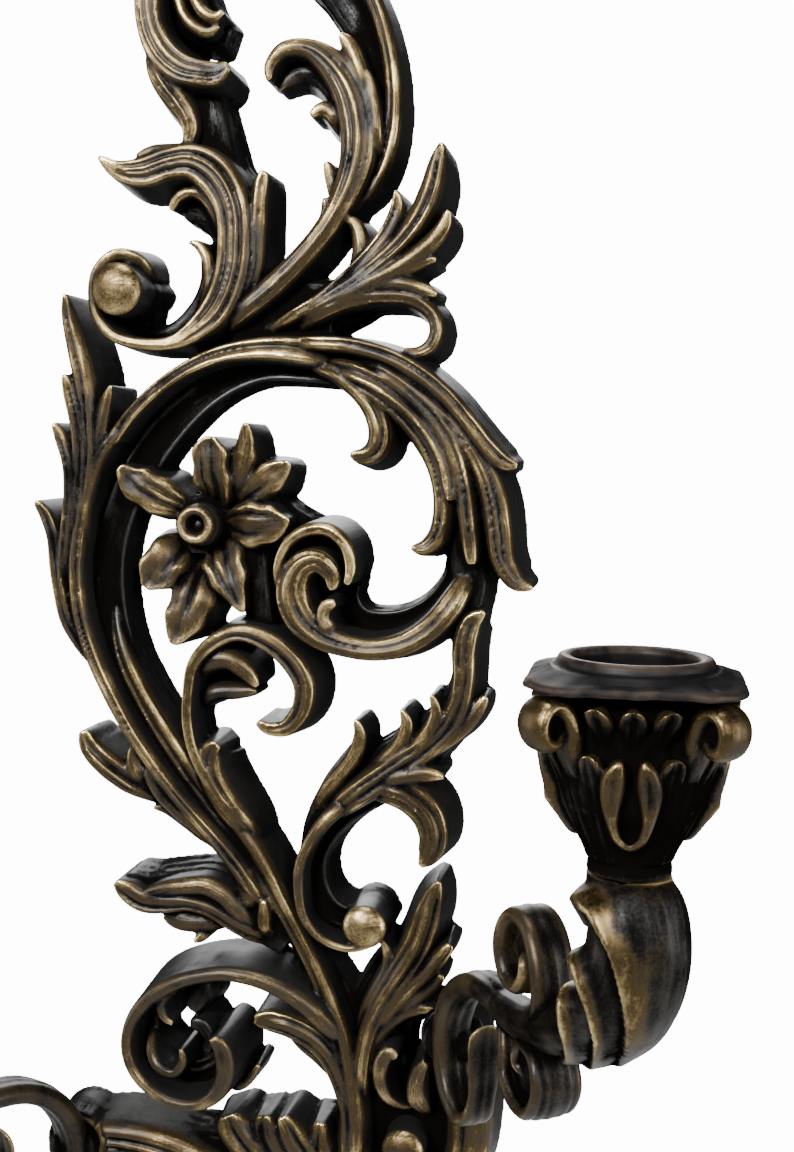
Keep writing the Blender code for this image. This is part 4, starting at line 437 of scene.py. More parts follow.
        (-44, -28, 6), (-34, -27, 11), (-20, -29, 15), (-6, -33, 14), (8, -34, 12))),
    "foot_left": (16, 16, 3, (
        (-61.5, -25.7, 9), (-52, -24.5, 11), (-43, -25, 12), (-34, -27, 13), (-24, -30, 11),
        (-14, -34, 8), (-4, -39, 5))),
    "foot_right": (14, 16, 2, (
        (41, 12, 13), (44, 1, 13), (45, -11, 12), (43.5, -23, 11), (38, -34, 10), (29.5, -44, 9),
        (20, -52.5, 8), (10, -60, 7), (1, -67, 6))),
    "foot_right_web": (9, 9, 0, (
        (34, 0, 12), (34, -14, 16), (29, -28, 18), (19, -40, 16), (8, -51, 12))),
    "pendant": (15, 18, 3, (
        (14.5, -12, 8), (14, -28, 10), (9, -43, 11), (1, -56, 10), (-4.5, -68, 8), (-7, -79, 5),
        (-7.5, -90, 1.6))),
    "pendant_left": (16, 16, 1, (
        (-17, -83, 1.6), (-16.5, -76, 4), (-13, -68, 5), (-8, -61, 5), (-2, -54, 5))),
    "pendant_right": (15, 16, 1, (
        (7.5, -82, 1.6), (7.5, -76, 3.6), (5.5, -69, 4.6), (2, -62, 5), (1, -55, 5))),
    "foot_scroll": (15, 19, 2, (
        (-26.5, -47.5, 2), (-22.5, -50.5, 4), (-22, -56, 5), (-26, -61, 5), (-33, -62.5, 5.5),
        (-41, -58.5, 6.5), (-46.5, -51, 7), (-48.5, -42, 7), (-46.5, -33, 7), (-41, -26, 6))),
    "foot_scroll_link": (14, 15, 1, (
        (-33, -62, 4), (-26, -66, 5), (-18, -67.5, 5), (-10, -66, 5), (-2, -61, 4))),
    "arm_root_leaf": (18, 18, 1, (
        (34.5, 8, 1.6), (32, 3, 4), (31.5, -3, 5), (34, -10, 4))),
    # top end and hanger block
    "finial_mid": (15, 17, 3, (
        (-14.5, 308, 1.6), (-14.3, 303.5, 5), (-14, 298, 6.5), (-13.6, 292, 6), (-13.5, 286, 5))),
    "finial_left": (15, 16, 2, (
        (-27.5, 304, 1.6), (-24.5, 301.5, 4), (-20.5, 297.5, 5), (-17, 292, 5), (-15, 286, 4))),
    "finial_right": (15, 16, 2, (
        (-1.5, 303, 1.6), (-4.2, 300.5, 4), (-8, 296.5, 5), (-11, 291.5, 5), (-12.5, 286, 4))),
    "hanger_web": (12, 12, 0, (
        (-21.5, 196, 17), (-14, 196, 18), (-6, 196, 18), (5.5, 196, 17))),
}
# How much wider than its drawing a stroke is carved
SPAN = {
    "petal_left": 1.2, "petal_top": 1.3, "petal_right": 1.15, "petal_low_right": 1.2, "petal_low": 1.2,
    "petal_low_left": 1.15, "petal_corner": 1.4, "petal_blade": 1.35, "foot_leaf_a": 1.5,
    "foot_leaf_b": 1.5, "foot_leaf_c": 1.6, "foot_leaf_d": 1.7, "left_spray_main": 1.5,
    "left_spray_top": 1.4, "left_spray_low": 1.4, "curl_leaf": 1.5, "curl_leaf_low": 1.5,
    "stem_leaf": 1.35, "low_leaf": 1.25, "comma_body": 1.3, "comma_eye": 1.8, "bud_a": 1.3, "bud_b": 1.2}
# Share of gilding, where it isn't the usual 1 for a leaf and 0 for a web or cove
GILT = {
    "scroll_rim": 0.7, "scroll_inner": 0.6, "scroll_tail": 0.5, "scroll_basin": 0.45, "scroll_foot": 0.5,
    "left_spray_top": 0.8, "left_spray_main": 0.9, "left_spray_low": 0.8, "branch_rim": 0.8,
    "fan_e": 0.8, "fan_curl": 0.65, "arm_root_leaf": 0.6, "hook_leaf_inner": 0.5, "curl_leaf": 0.9,
    "curl_leaf_low": 0.6, "comma_eye": 0.8, "frond_e": 0.9}
# Strokes that sink into the others at both ends
MERGED = {"inner_stem"}
# Balls of the plate: (x, z, radius, height)
BALLS = ((-47.7, 201.4, 6.6, 24), (17.7, 41.5, 5.6, 21), (28.5, -17, 5.5, 20))
# Middle of the flower: its place and its profile of (radius, height)
HUB_AT = (-27.6, 142.6)
HUB = (
    (5.6, 13), (5.4, 15.6), (5.1, 16.6), (4.9, 18.4), (4.2, 19.6), (3.2, 19.5), (2.4, 18.6), (2.1, 17),
    (1.5, 16), (0.3, 16.4))

# Lines in the arm's upright plane, s from the cup towards the wall: (s, z, half thickness, half width)
HORN = (
    (0.4, 81, 6.6, 6.6), (0, 79.6, 8, 8), (-1.5, 77, 9.1, 9), (-3.6, 73.5, 9.9, 9.8),
    (-4.6, 67, 10, 9.9), (-2.6, 59.5, 9.6, 9.5), (2.5, 52.5, 8.7, 8.8), (10.5, 46.5, 7.6, 7.8),
    (20, 42, 6.4, 6.8), (30, 38.5, 5.4, 6), (40, 36, 4.6, 5.4), (50, 35.2, 3.9, 4.9),
    (56, 35.4, 3.2, 4.2))
HUMP = (
    (47, 33.5, 2.6, 4.2), (53, 35.6, 3, 4.8), (60, 36.2, 3.1, 5.2), (68.5, 34.6, 3.1, 5.3),
    (76, 30.2, 3.1, 5.3), (81.5, 23.5, 3.2, 5.2), (84, 15.5, 3.2, 5), (82.8, 8, 3, 4.9),
    (79, 2.2, 2.6, 4.8), (73, -0.8, 2.1, 4.6), (67.4, 2, 1.7, 4.2), (64.6, 8.5, 1.4, 3.8),
    (63.6, 15.5, 1.3, 4.4), (63.4, 21, 1.1, 4.7), (62.4, 26.5, 0.9, 4.6))
UPPER_CURL = (
    (36, 34, 2.8, 4.4), (31.4, 38.5, 2.7, 5), (29.6, 45, 2.5, 5.3), (31.2, 53, 2.4, 5.4),
    (35.4, 58.8, 2.3, 5.4), (41.5, 60.4, 2.2, 5.4), (47.2, 57, 2.2, 5.4), (49.4, 50.6, 2.2, 5.3),
    (46.4, 44.6, 2.1, 5), (41, 44.2, 1.9, 4.8), (38.2, 48.8, 1.6, 4.4), (40.4, 53.2, 1.2, 4))
LOWER_CURL = (
    (50, 34.5, 2, 4), (46.2, 29, 2.2, 5), (44, 22.6, 2, 5.8), (38.4, 19, 1.9, 6.2),
    (31.4, 19.6, 1.9, 6.4), (27.2, 25.6, 1.9, 6.3), (29.4, 32, 1.8, 6), (35.6, 33.2, 1.6, 5.6),
    (39, 28.4, 1.4, 5.2), (35.6, 24.8, 1.2, 4.6))
# Fillings of the two curls
PLUGS = (
    ((36, 50.5, 3, 1.6), (39, 51.6, 4, 2), (43, 51.6, 4, 2), (46, 50.5, 3, 1.6)),
    ((29, 26.4, 5, 3), (33, 26.6, 6, 3.4), (38, 26.6, 6, 3.4), (42, 26, 5, 3)))
# Each leaf sheath of the horn: where its edge starts, how far it sweeps down and how wide it is gilded
SHEATHS = ((4, 46, 6.5), (21, 41, 2.8), (37, 34, 2.8))
SHEATH_FROM = math.radians(-62)  # turn about the horn at which the edges start
SHEATH_STEP = 1.5  # how proud each edge stands of the next sheath
# Ring under the cup: (depth below the neck, radius)
COLLAR = ((8, 6.5), (5.2, 8), (4.4, 8.5), (3.8, 8.3), (0.6, 8.2), (-0.6, 8.2))

# Cup's outside: (depth below the rim, radius)
CUP_OUTSIDE = (
    (41.9, 8.2), (40.4, 8.2), (39.4, 8), (38.4, 8.1), (37.4, 8.5), (34.8, 9.9), (31.2, 12), (27.7, 14.3),
    (23, 14.6), (18.2, 14.7), (12, 14.9), (5.8, 15))
# Leaves round the cup, from the tip down: (depth below the rim, radius, half width)
TALL_LEAF = (
    (16.4, 17.6, 0.5), (17.2, 17.7, 1.7), (19.4, 16.6, 2.6), (23, 14.9, 3.1), (28, 13.3, 3),
    (32, 11.4, 2.5), (36, 9.3, 2), (38.6, 8.2, 1.8))
SHORT_LEAF = ((7.4, 18.8, 0.5), (8.2, 19.1, 1.9), (10, 17.6, 2.5), (12.4, 15.8, 2.2), (15, 14.2, 1.6))
CORNER_LEAF = (
    (7.8, 22.2, 2.4), (10, 19.6, 2.8), (13.6, 17.2, 3.1), (19, 15.8, 3.4), (25, 14.4, 3.2),
    (31, 12, 2.6), (36.4, 9.1, 2), (38.6, 8.2, 1.8))
# Rolled leaf tips under the flange's corners: (radius, depth, half thickness, half width)
VOLUTE = (
    (14.6, 21, 1.4, 2.2), (16.4, 16.6, 1.8, 3.1), (17.6, 12, 1.9, 3.6), (19.4, 8.8, 1.9, 3.9),
    (22.2, 7.6, 1.8, 4), (24.4, 8.7, 1.8, 4), (25.2, 11.2, 1.8, 3.9), (24.2, 13.8, 1.7, 3.7),
    (22, 14.7, 1.6, 3.5), (20.3, 13.5, 1.4, 3.2), (20.3, 11.7, 1.1, 2.7))
VOLUTE_PLUG = tuple((radius, 11.2, 2.8, 1.8) for radius in (20.2, 21.2, 22.2, 23.2))
# Left half of the looped blades on each face: (across, depth, width)
LOOP = (
    (-2, 16.8, 1.4), (-2.7, 18.6, 3.4), (-3.3, 21.4, 4.6), (-3.5, 24.8, 4), (-3.4, 27.8, 2.6),
    (-3, 30.4, 2), (-2, 33, 1.8), (0, 34.4, 1.8))
LOOP_PROUD = 1.8

# Candle socket, from the middle of its floor's underside round to the top of its floor:
# (radius, depth, how far it follows the flange's outline, gilding)
SOCKET = (
    (6, 27.2, 0, 0), (12.4, 27.2, 0, 0), (13.2, 26.4, 0, 0), (13.2, 16, 0, 0), (13.2, 6, 0, 0),
    (13.9, 5.5, 0, 0), (18, 5.4, 0.5, 0), (23, 5.3, 1, 0), (24.2, 5.1, 1, 0.2), (24.5, 4.6, 1, 0.3),
    (24.4, 4.0, 1, 0.3), (23.9, 3.6, 1, 0.2), (21.5, 3.1, 0.9, 0), (19.2, 2.5, 0.6, 0), (17.2, 1.9, 0.3, 0),
    (16, 1.8, 0.1, 0), (15.2, 1.6, 0, 0), (14.9, 0.5, 0, 0.2), (14.4, -0.1, 0, 0.6), (13.3, -0.1, 0, 0.3),
    (12.3, 0.2, 0, 0.4), (11.8, 1.2, 0, 0.1), (12, 3.4, 0, 0), (12, 14, 0, 0), (12, 24.3, 0, 0),
    (11.5, 25, 0, 0), (6, 25, 0, 0))


# Mesh tools

def collect(bars):
    """Many (points, faces, notes) bars as one set of arrays."""
    points, faces, notes, shift = [], [], [], 0
    for bar_points, bar_faces, bar_notes in bars:
        points.append(bar_points)
        faces.append(bar_faces + shift)
        notes.append(bar_notes)
        shift += len(bar_points)
    return np.vstack(points), np.vstack(faces), np.vstack(notes)


def linked(name, mesh):
    made = bpy.data.objects.new(name, mesh)
    bpy.context.scene.collection.objects.link(made)
    return made


def mesh_object(name, points, faces):
    """Object from arrays in drawing millimetres; faces are quads, or triangles written with a repeat."""
    mesh = bpy.data.meshes.new(name)
    corners = [tuple(dict.fromkeys(face)) for face in faces.tolist()]
    mesh.from_pydata((points - ORIGIN) * MM, [], corners)
    return linked(name, mesh)


def bmesh_object(name, bm):
    mesh = bpy.data.meshes.new(name)
    bm.to_mesh(mesh)
    bm.free()
    return linked(name, mesh)


def cylinder_cutter(radius, ends, centre, axis="Z"):
    low, high = ends
    bm = bmesh.new()
    made = bmesh.ops.create_cone(bm, cap_ends=True, segments=64, radius1=radius, radius2=radius,
                                 depth=high - low)
    bmesh.ops.translate(bm, verts=made["verts"], vec=(0, 0, (low + high) / 2))
    if axis == "Y":
        bmesh.ops.rotate(bm, verts=made["verts"], matrix=Matrix.Rotation(math.radians(-90), 3, "X"))
    bmesh.ops.translate(bm, verts=made["verts"], vec=Vector(centre) - Vector(ORIGIN))
    bmesh.ops.scale(bm, verts=made["verts"], vec=(MM, MM, MM))
    return bmesh_object("cutter", bm)


def box_cutter(low, high):
    low, high = Vector(low), Vector(high)
    bm = bmesh.new()
    made = bmesh.ops.create_cube(bm, size=1)
    bmesh.ops.scale(bm, verts=made["verts"], vec=(high - low) * MM)
    bmesh.ops.translate(bm, verts=made["verts"], vec=((low + high) / 2 - Vector(ORIGIN)) * MM)
    return bmesh_object("cutter", bm)


def tube_faces(rings, around):
    """Quads of a tube of rings, with both ends closed by fans about an extra last and first point."""
    ring, k = np.meshgrid(np.arange(rings - 1), np.arange(around), indexing="ij")
    following = (k + 1) % around
    a, b = ring * around + k, ring * around + following
    quads = np.stack((a, b, b + around, a + around), -1).reshape(-1, 4)
    k = np.arange(around)
    following = (k + 1) % around
    start, end = rings * around, rings * around + 1
    low = np.stack((np.full(around, start), following, k, k), -1)
    last = (rings - 1) * around
    high = np.stack((np.full(around, end), last + k, last + following, last + following), -1)
    return np.vstack((quads, low, high))


def tube(sections, *notes):
    """Closed tube through an array of sections (rings, around, 3), with its notes per point.

    The notes are how far each point lies across its leaf, how far along, a seed and its gilding.
    """
    rings, around = sections.shape[:2]
    notes = np.stack([note + np.zeros((rings, around)) for note in notes], -1)
    points = np.vstack((sections.reshape(-1, 3), sections[0].mean(0), sections[-1].mean(0)))
    flat = np.vstack((notes.reshape(-1, notes.shape[-1]), notes[0].mean(0), notes[-1].mean(0)))
    return points, tube_faces(rings, around), flat


def evaluated(obj, name):
    """The object with its modifiers applied."""
    graph = bpy.context.evaluated_depsgraph_get()
    mesh = bpy.data.meshes.new_from_object(obj.evaluated_get(graph))
    old = obj.data
    obj.modifiers.clear()
    obj.data = mesh
    obj.name = mesh.name = name
    bpy.data.meshes.remove(old)
    return obj


def cut(obj, cutters):
    for cutter in cutters:
        cutting = obj.modifiers.new("cut", "BOOLEAN")
        cutting.operation = "DIFFERENCE"
        cutting.solver = "MANIFOLD"
        cutting.object = cutter
    evaluated(obj, obj.name)
    obj.data.materials.clear()
    for cutter in cutters:
        bpy.data.objects.remove(cutter)
    return obj


def fuse(name, bars, voxel):
    """Voxel-remeshed skin over the bars."""
    points, faces, _ = collect(bars)
    made = mesh_object(name, points, faces)
    remesh = made.modifiers.new("fuse", "REMESH")
    remesh.mode = "VOXEL"
    remesh.voxel_size = voxel * MM
    return evaluated(made, name)


def vertex_array(mesh, what="co"):
    out = np.empty(len(mesh.vertices) * 3)
    mesh.vertices.foreach_get(what, out)
    return out.reshape(-1, 3)


def put_attribute(mesh, name, values):
    kind = "FLOAT" if values.ndim == 1 else "FLOAT_VECTOR"
    layer = mesh.attributes.new(name, kind, "POINT")
    layer.data.foreach_set("value" if values.ndim == 1 else "vector", values.astype(np.float32).ravel())


def smoother(mesh):
    """Function that averages per-vertex values over neighbours a number of times."""
    edges = np.empty(len(mesh.edges) * 2, dtype=np.int64)
    mesh.edges.foreach_get("vertices", edges)
    a, b = edges.reshape(-1, 2).T
    count = len(mesh.vertices)
    degree = np.bincount(np.concatenate((a, b)), minlength=count).astype(float)

    def smooth(values, times):
        for _ in range(times):
            columns = [np.bincount(a, column[b], count) + np.bincount(b, column[a], count)
                       for column in values.T]
            values = 0.5 * values + 0.5 * np.stack(columns, -1) / degree[:, None]
        return values

    return smooth


def relief(obj, bars):
    """Smooth a carved skin a little and store how proud each vertex stands, with its bar's notes."""
    mesh = obj.data
    smooth = smoother(mesh)
    place = smooth(vertex_array(mesh), 1)
    mesh.vertices.foreach_set("co", place.ravel())
    mesh.update()
    normals = vertex_array(mesh, "normal")
    near = smooth(place, 10)
    far = smooth(near, 50)
    put_attribute(mesh, "crest", ((place - near) * normals).sum(1) / MM)
    put_attribute(mesh, "swell", ((near - far) * normals).sum(1) / MM)
    points, _, notes = collect(bars)
    tree = kdtree.KDTree(len(points))
    for index, point in enumerate((points - ORIGIN) * MM):
        tree.insert(point, index)
    tree.balance()
    nearest = np.array([tree.find(point)[1] for point in place])
    put_attribute(mesh, "grain", notes[nearest, :3])
    put_attribute(mesh, "gilt", smooth(notes[nearest, 3:4], 3)[:, 0])
    return obj


def stand_in(made, finish, node, body):
    """Put a finished mesh in a CAD node's place."""
    made.data.materials.clear()
    made.data.materials.append(finish)
    made.data.shade_smooth()
    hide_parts(node)
    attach(made, body)


def stand_in_pair(right, name, finish, part, body):
    """Put a right-hand mesh and its mirror image in the places of a part's two nodes."""
    mesh = right.data.copy()
    place = vertex_array(mesh)
    place[:, 0] = 2 * (MIRROR_X - ORIGIN[0]) * MM - place[:, 0]
    place[:, 2] -= LEFT_DROP * MM
    mesh.vertices.foreach_set("co", place.ravel())
    mesh.flip_normals()
    for side, made in (("right", right), ("left", linked(f"{name}_left", mesh))):
        stand_in(made, finish, f"{part}_{side}", body.format(side=side))


# Carving

def spline(rows, spacing):
    """Catmull-Rom through the rows, sampled about evenly at the spacing in mm."""
    rows = np.array(rows, float)
    padded = np.vstack([2 * rows[0] - rows[1], rows, 2 * rows[-1] - rows[-2]])
    out = [rows[:1]]
    for a, b, c, d in zip(padded, padded[1:], padded[2:], padded[3:]):
        count = max(2, math.ceil(np.linalg.norm((c - b)[:2]) / spacing))
        u = np.arange(1, count + 1)[:, None] / count
        out.append(b + 0.5 * ((c - a) * u + (2 * a - 5 * b + 4 * c - d) * u**2
                              + (3 * b - a - 3 * c + d) * u**3))
    return np.vstack(out)


def line_frame(line):
    """Unit tangents, signed radius of curvature and length so far, in columns, along a flat line."""
    steps = np.gradient(line, axis=0)
    length = np.linalg.norm(steps, axis=1)
    tangents = steps / length[:, None]
    bend = np.gradient(np.unwrap(np.arctan2(tangents[:, 1], tangents[:, 0])))
    radius = length / np.where(np.abs(bend) < 1e-6, 1e-6, bend)
    return tangents, radius[:, None], np.cumsum(length)[:, None]


def offset(line, tangents, out):
    """Places of points a distance out from each point of a flat line."""
    return line[:, :1] - tangents[:, 1:] * out, line[:, 1:2] + tangents[:, :1] * out


def within_bend(out, radius, share):
    """Offsets kept short of the centre of the bend that they lie inside."""
    limited = np.sign(out) * np.minimum(np.abs(out), share * np.abs(radius))
    return np.where(out * radius > 0, limited, out)


def carved_depth(across, width, ribs, seed=0.0, crown=0.16, deep=1.0):
    """How far the front of a bar lies below its height, across -1 to 1; deep is its share of groove."""
    across, width = np.broadcast_arrays(across, width)
    edge = np.minimum(EDGE_ROUND, 0.22 * width)
    past = np.clip((np.abs(across) - 1) * width / 2 + edge, 0, edge)
    depth = edge - np.sqrt(edge**2 - past**2)
    if ribs < 0:
        return depth + np.minimum(0.26 * width, 3.4) * (1 - across**2)
    if ribs == 0:
        return depth + np.minimum(0.1 * width, 0.9) * across**2
    if ribs == 1:
        return depth + np.minimum(0.24 * width, 2.2) * np.abs(across) ** 1.8
    place = (across + 1) / 2 * ribs
    place = place + 0.3 * np.sin(math.pi * place / ribs) * np.sin(2.4 * seed + 2.1 * place)
    wave = 1 - np.abs(np.sin(math.pi * place)) ** 0.85
    groove = np.minimum(1.4, 0.5 * width / ribs)
    uneven = 0.3 * np.sin(1.7 * np.floor(place) + 3.1 * seed) * np.minimum(groove, 0.9) * (1 - wave)
    return depth + uneven + np.minimum(crown * width, 1.7) * across**2 + deep * groove * wave


def leaf_bar(tip_height, root_height, ribs, rows, gilt=1.0, seed=0.0, petal=False, merged=False):
    """One carved leaf or stem: closed bar from the wall to its ribbed front.

    A petal is flat, wavy at its edges and creased towards its root. A merged bar sinks at its tip too.
    """
    rows = spline(rows, 0.9)
    tangents, radius, along = line_frame(rows[:, :2])
    widths = rows[:, 2:3]
    crown = 0.16
    deep = 0.4 + 0.6 * np.clip(along / 8, 0, 1)
    if petal:
        crown = 0.02
        deep = 1.3 * np.clip((along / along[-1] - 0.3) / 0.4, 0, 1)
        widths = widths * (1 + 0.06 * np.sin(along * 0.9 + 2 * seed))
    blunt = np.minimum(along, BLUNT) / BLUNT
    widths = widths * np.sqrt(np.clip(1 - (1 - blunt) ** 2, 0.03, 1))
    height = tip_height + (root_height - tip_height) * (along / along[-1])
    ends = np.minimum(along, 3) / 3
    height = height - 0.35 * np.minimum(widths, 5) * (1 - np.sqrt(1 - (1 - ends) ** 2))
    if ribs > 0:
        over = min(ROOT_SINK[0], 0.45 * along[-1, 0])
        sink = np.clip((along - along[-1] + over) / over, 0, 1)
        height = height - ROOT_SINK[1] * sink**2
        widths = widths * (1 - 0.6 * sink**3)
    if merged:
        sink = np.clip(1 - along / (2 * ROOT_SINK[0]), 0, 1)
        height = height - ROOT_SINK[1] * sink**2
        widths = widths * (1 - 0.5 * sink)
        gilt = gilt * (1 - sink)
    steps = np.linspace(-1, 1, 2 * (5 + 3 * max(ribs, 0)) + 1)[None, :]
    across = 0.5 * np.sin(steps * math.pi / 2) + 0.5 * steps
    front = height - carved_depth(across, widths, ribs, seed, crown, deep)
    if ribs > 0:
        front = front - TIP_HOLLOW * np.minimum(widths, 7) * (1 - across**2) * np.clip(1 - along / 9, 0, 1)
    lean = np.minimum(0.12 * height, 0.3 * widths)
    walls = np.array((0.0, 0.3, 0.6, 0.85))[None, :]
    wall_reach = widths / 2 + lean * (1 - walls)
    wall_depth = front[:, :1] * walls
    reach = np.hstack((-wall_reach, across * widths / 2, wall_reach[:, ::-1]))
    depth = np.hstack((wall_depth, front, wall_depth[:, ::-1]))
    reach = within_bend(reach, radius, 0.85)
    x, z = offset(rows, tangents, reach)
    return tube(np.stack((x, -depth, z), -1), reach, along, seed, gilt)


def turned_bar(x, z, profile, gilt, seed):
    """Round boss on the plate, from its profile of radius and height off the wall, its rim first."""
    turns = np.linspace(0, math.tau, 48, endpoint=False)[None, :]
    rows = spline([(height, radius) for radius, height in profile], 0.5)
    rows = np.vstack(([0, rows[0, 1] + 0.8], rows))
    height, radius = rows[:, :1], rows[:, 1:2]
    sections = np.stack((x + radius * np.cos(turns), -height + 0 * turns, z + radius * np.sin(turns)), -1)
    return tube(sections, turns * radius, radius, seed, gilt)


def dome_bar(x, z, radius, height, gilt, seed, flat=0.55):
    """Round boss with a domed front."""
    rim = height - flat * radius
    profile = [(radius, 0.6 * rim), (radius, rim)]
    profile += [(radius * math.cos(a), rim + flat * radius * math.sin(a)) for a in np.linspace(0.1, 1.5, 9)]
    return turned_bar(x, z, profile, gilt, seed)


# Back plate

def plate():
    bars = []
    for seed, (name, (tip, root, ribs, rows)) in enumerate(STROKES.items()):
        rows = [(x, z, width * SPAN.get(name, 1)) for x, z, width in rows]
        gilt = GILT.get(name, 0.0 if ribs <= 0 else 1.0)
        bars.append(leaf_bar(tip, root, ribs, rows, gilt, seed, name.startswith("petal"), name in MERGED))
    bars += [dome_bar(*ball, 1.3, 200 + index) for index, ball in enumerate(BALLS)]
    bars.append(turned_bar(*HUB_AT, HUB, 1.0, 210))
    cutters = []
    for x, z in ((ROOT_X, ROOT_Z), (LEFT_ROOT_X, LEFT_ROOT_Z)):
        boss = ((BOSS_R, 9), (BOSS_R, BOSS_H - 0.4), (BOSS_R - 0.5, BOSS_H), (1, BOSS_H))
        bars.append(turned_bar(x, z, boss, 0.0, 220))
        cutters += [
            cylinder_cutter(ARM_SCREW_R, (-20, 2), (x, 0, z), "Y"),
            cylinder_cutter(ARM_SCREW_HEAD_R, (-5, 2), (x, 0, z), "Y"),
            cylinder_cutter(DOWEL_R, (-20, -9), (x, 0, z + DOWEL_RISE), "Y"),
            cylinder_cutter(BOSS_R + 0.6, (-40, -BOSS_H), (x, 0, z), "Y")]
    width, depth, height = POCKET
    pocket_z = HANGER_Z + POCKET_RISE
    cutters.append(box_cutter((HANGER_X - width / 2, -depth, pocket_z - height / 2),
                              (HANGER_X + width / 2, 2, pocket_z + height / 2)))
    for x in (HANGER_X - HANGER_SCREW_X, HANGER_X + HANGER_SCREW_X):
        cutters.append(cylinder_cutter(HANGER_SCREW_R, (-10, 0), (x, 0, HANGER_Z), "Y"))
    made = relief(cut(fuse("plate_carving", bars, PLATE_VOXEL), cutters), bars)
    stand_in(made, antique("antique_plate", flat=True), "back_plate", "sconce")


# Arms, cups and sockets are drawn on the right and mirrored to the left

def arm_place(s, t, z):
    """Drawing place of points in the arm's own plane."""
    return np.stack((CUP_X - s * math.sin(ARM_TURN) + t * math.cos(ARM_TURN),
                     CUP_Y + s * math.cos(ARM_TURN) + t * math.sin(ARM_TURN), z + 0 * s), -1)


def ribbon(rows, ribs, groove=0.45, gilt=1.0, seed=0.0, place=arm_place):
    """Ribbed leaf ribbon with rounded edges, swept along a line in an upright plane."""
    rows = spline(rows, 0.7)
    tangents, radius, along = line_frame(rows[:, :2])
    turns = np.linspace(0, math.tau, 36, endpoint=False)[None, :]
    cos, sin = np.cos(turns), np.sin(turns)
    across = np.sign(sin) * np.abs(sin) ** 0.75
    out = np.sign(cos) * np.abs(cos) ** 0.75
    wave = 1 - np.abs(np.sin(math.pi * ribs * (across + 1) / 2)) ** 0.8
    end = np.minimum(along[-1] - along, 4) / 4
    tip = np.sqrt(np.clip(1 - (1 - end) ** 2, 0.02, 1))
    thick = rows[:, 2:3] * out - np.sign(out) * np.minimum(groove, 0.3 * rows[:, 2:3]) * wave
    thick = within_bend(thick, radius, 0.8) * tip
    wide = rows[:, 3:4] * across * tip
    s, z = offset(rows, tangents, thick)
    return tube(place(s, wide, z), wide, along, seed, gilt)


def horn():
    """Belly of the arm: nested leaf sheaths with proud edges that flare into lips on the hollow side."""
    rows = spline(HORN, 0.6)
    tangents, _, along = line_frame(rows[:, :2])
    turns = np.linspace(0, math.tau, 110, endpoint=False)[None, :]
    from_lip = turns - SHEATH_FROM
    facing = np.clip(np.cos(from_lip), 0, 1) ** 3
    nearby = ((1 + np.cos(from_lip)) / 2) ** 0.8
    proud = 0 * along * turns
    gilt = 0 * proud + 0.45
    for start, sweep, band in SHEATHS:
        past = along - (start + sweep * (1 - np.cos(from_lip)) / 2)
        step = np.where(past < 0, np.exp(past / 7), -np.exp(-past / 6))
        proud += SHEATH_STEP * step / (1 + np.exp(-np.abs(past) * 3)) * nearby
        proud += 2.6 * facing * np.exp(-((past + 2.4) / 2.8) ** 2)
        edge = np.exp(-(((past + band) / band) ** 2))
        gilt = np.maximum(gilt, (1.2 + 0.1 * band) * edge * (0.3 + 0.7 * nearby))
    patch = np.exp(-(((turns - math.radians(205)) / 0.16) ** 2)) * np.exp(-(((along - 21) / 9) ** 2))
    gilt = np.maximum(gilt, 1.3 * patch)
    fade = np.clip((along - 0.5) / 2, 0, 1)
    seam = 0.3 * np.exp(-(((turns - math.radians(150)) * rows[:, 2:3] / 0.5) ** 2))
    flutes = 0.05 * np.cos(16 * turns) * fade
    grow = proud * fade + seam + flutes
    s, z = offset(rows, tangents, (rows[:, 2:3] + grow) * np.cos(turns))
    sections = arm_place(s, (rows[:, 3:4] + grow) * np.sin(turns), z)
    return tube(sections, 0.4 * turns * rows[:, 2:3], along, 300, gilt)


def collar():
    """Smooth ring under the cup, which the horn's leaves grow from."""
    depths, radius = (column[:, None] for column in np.array(COLLAR, float).T)
    turns = np.linspace(0, math.tau, 72, endpoint=False)[None, :]
    sections = np.stack((CUP_X + radius * np.cos(turns), CUP_Y + radius * np.sin(turns),
                         NECK_Z - depths + 0 * turns), -1)
    return tube(sections, 0, 0, 310, 0.7)


def arms():
    root = (ROOT_X, 0, ROOT_Z)
    cup = (CUP_X, CUP_Y, 0)
    bars = [
        horn(),
        collar(),
        ribbon(HUMP, 3, seed=301, gilt=0.55),
        ribbon(UPPER_CURL, 3, seed=302, gilt=0.65),
        ribbon(LOWER_CURL, 5, seed=303, gilt=0.5),
        *(ribbon(rows, 1, groove=0.0, seed=305, gilt=0.0) for rows in PLUGS),
        dome_bar(ROOT_X, ROOT_Z, 6.6, 21, 0.0, 304)]
    cutters = [
        box_cutter((0, -(BOSS_H + GAP), -60), (75, 20, 80)),
        cylinder_cutter(16, (NECK_Z - GAP, NECK_Z + 12), cup),
        cylinder_cutter(ARM_INSERT_R, (-20.3, -5), root, "Y"),
        cylinder_cutter(DOWEL_R, (-18.8, -5), (ROOT_X, 0, ROOT_Z + DOWEL_RISE), "Y"),
        cylinder_cutter(ARM_INSERT_R, (70.7, 90), cup)]
    right = relief(cut(fuse("arm_carving_right", bars, ARM_VOXEL), cutters), bars)
    finish = antique("antique_arm", -0.1, 0.32, 1.5)
    stand_in_pair(right, "arm_carving", finish, "arm", "sconce")


# Cups and candle sockets

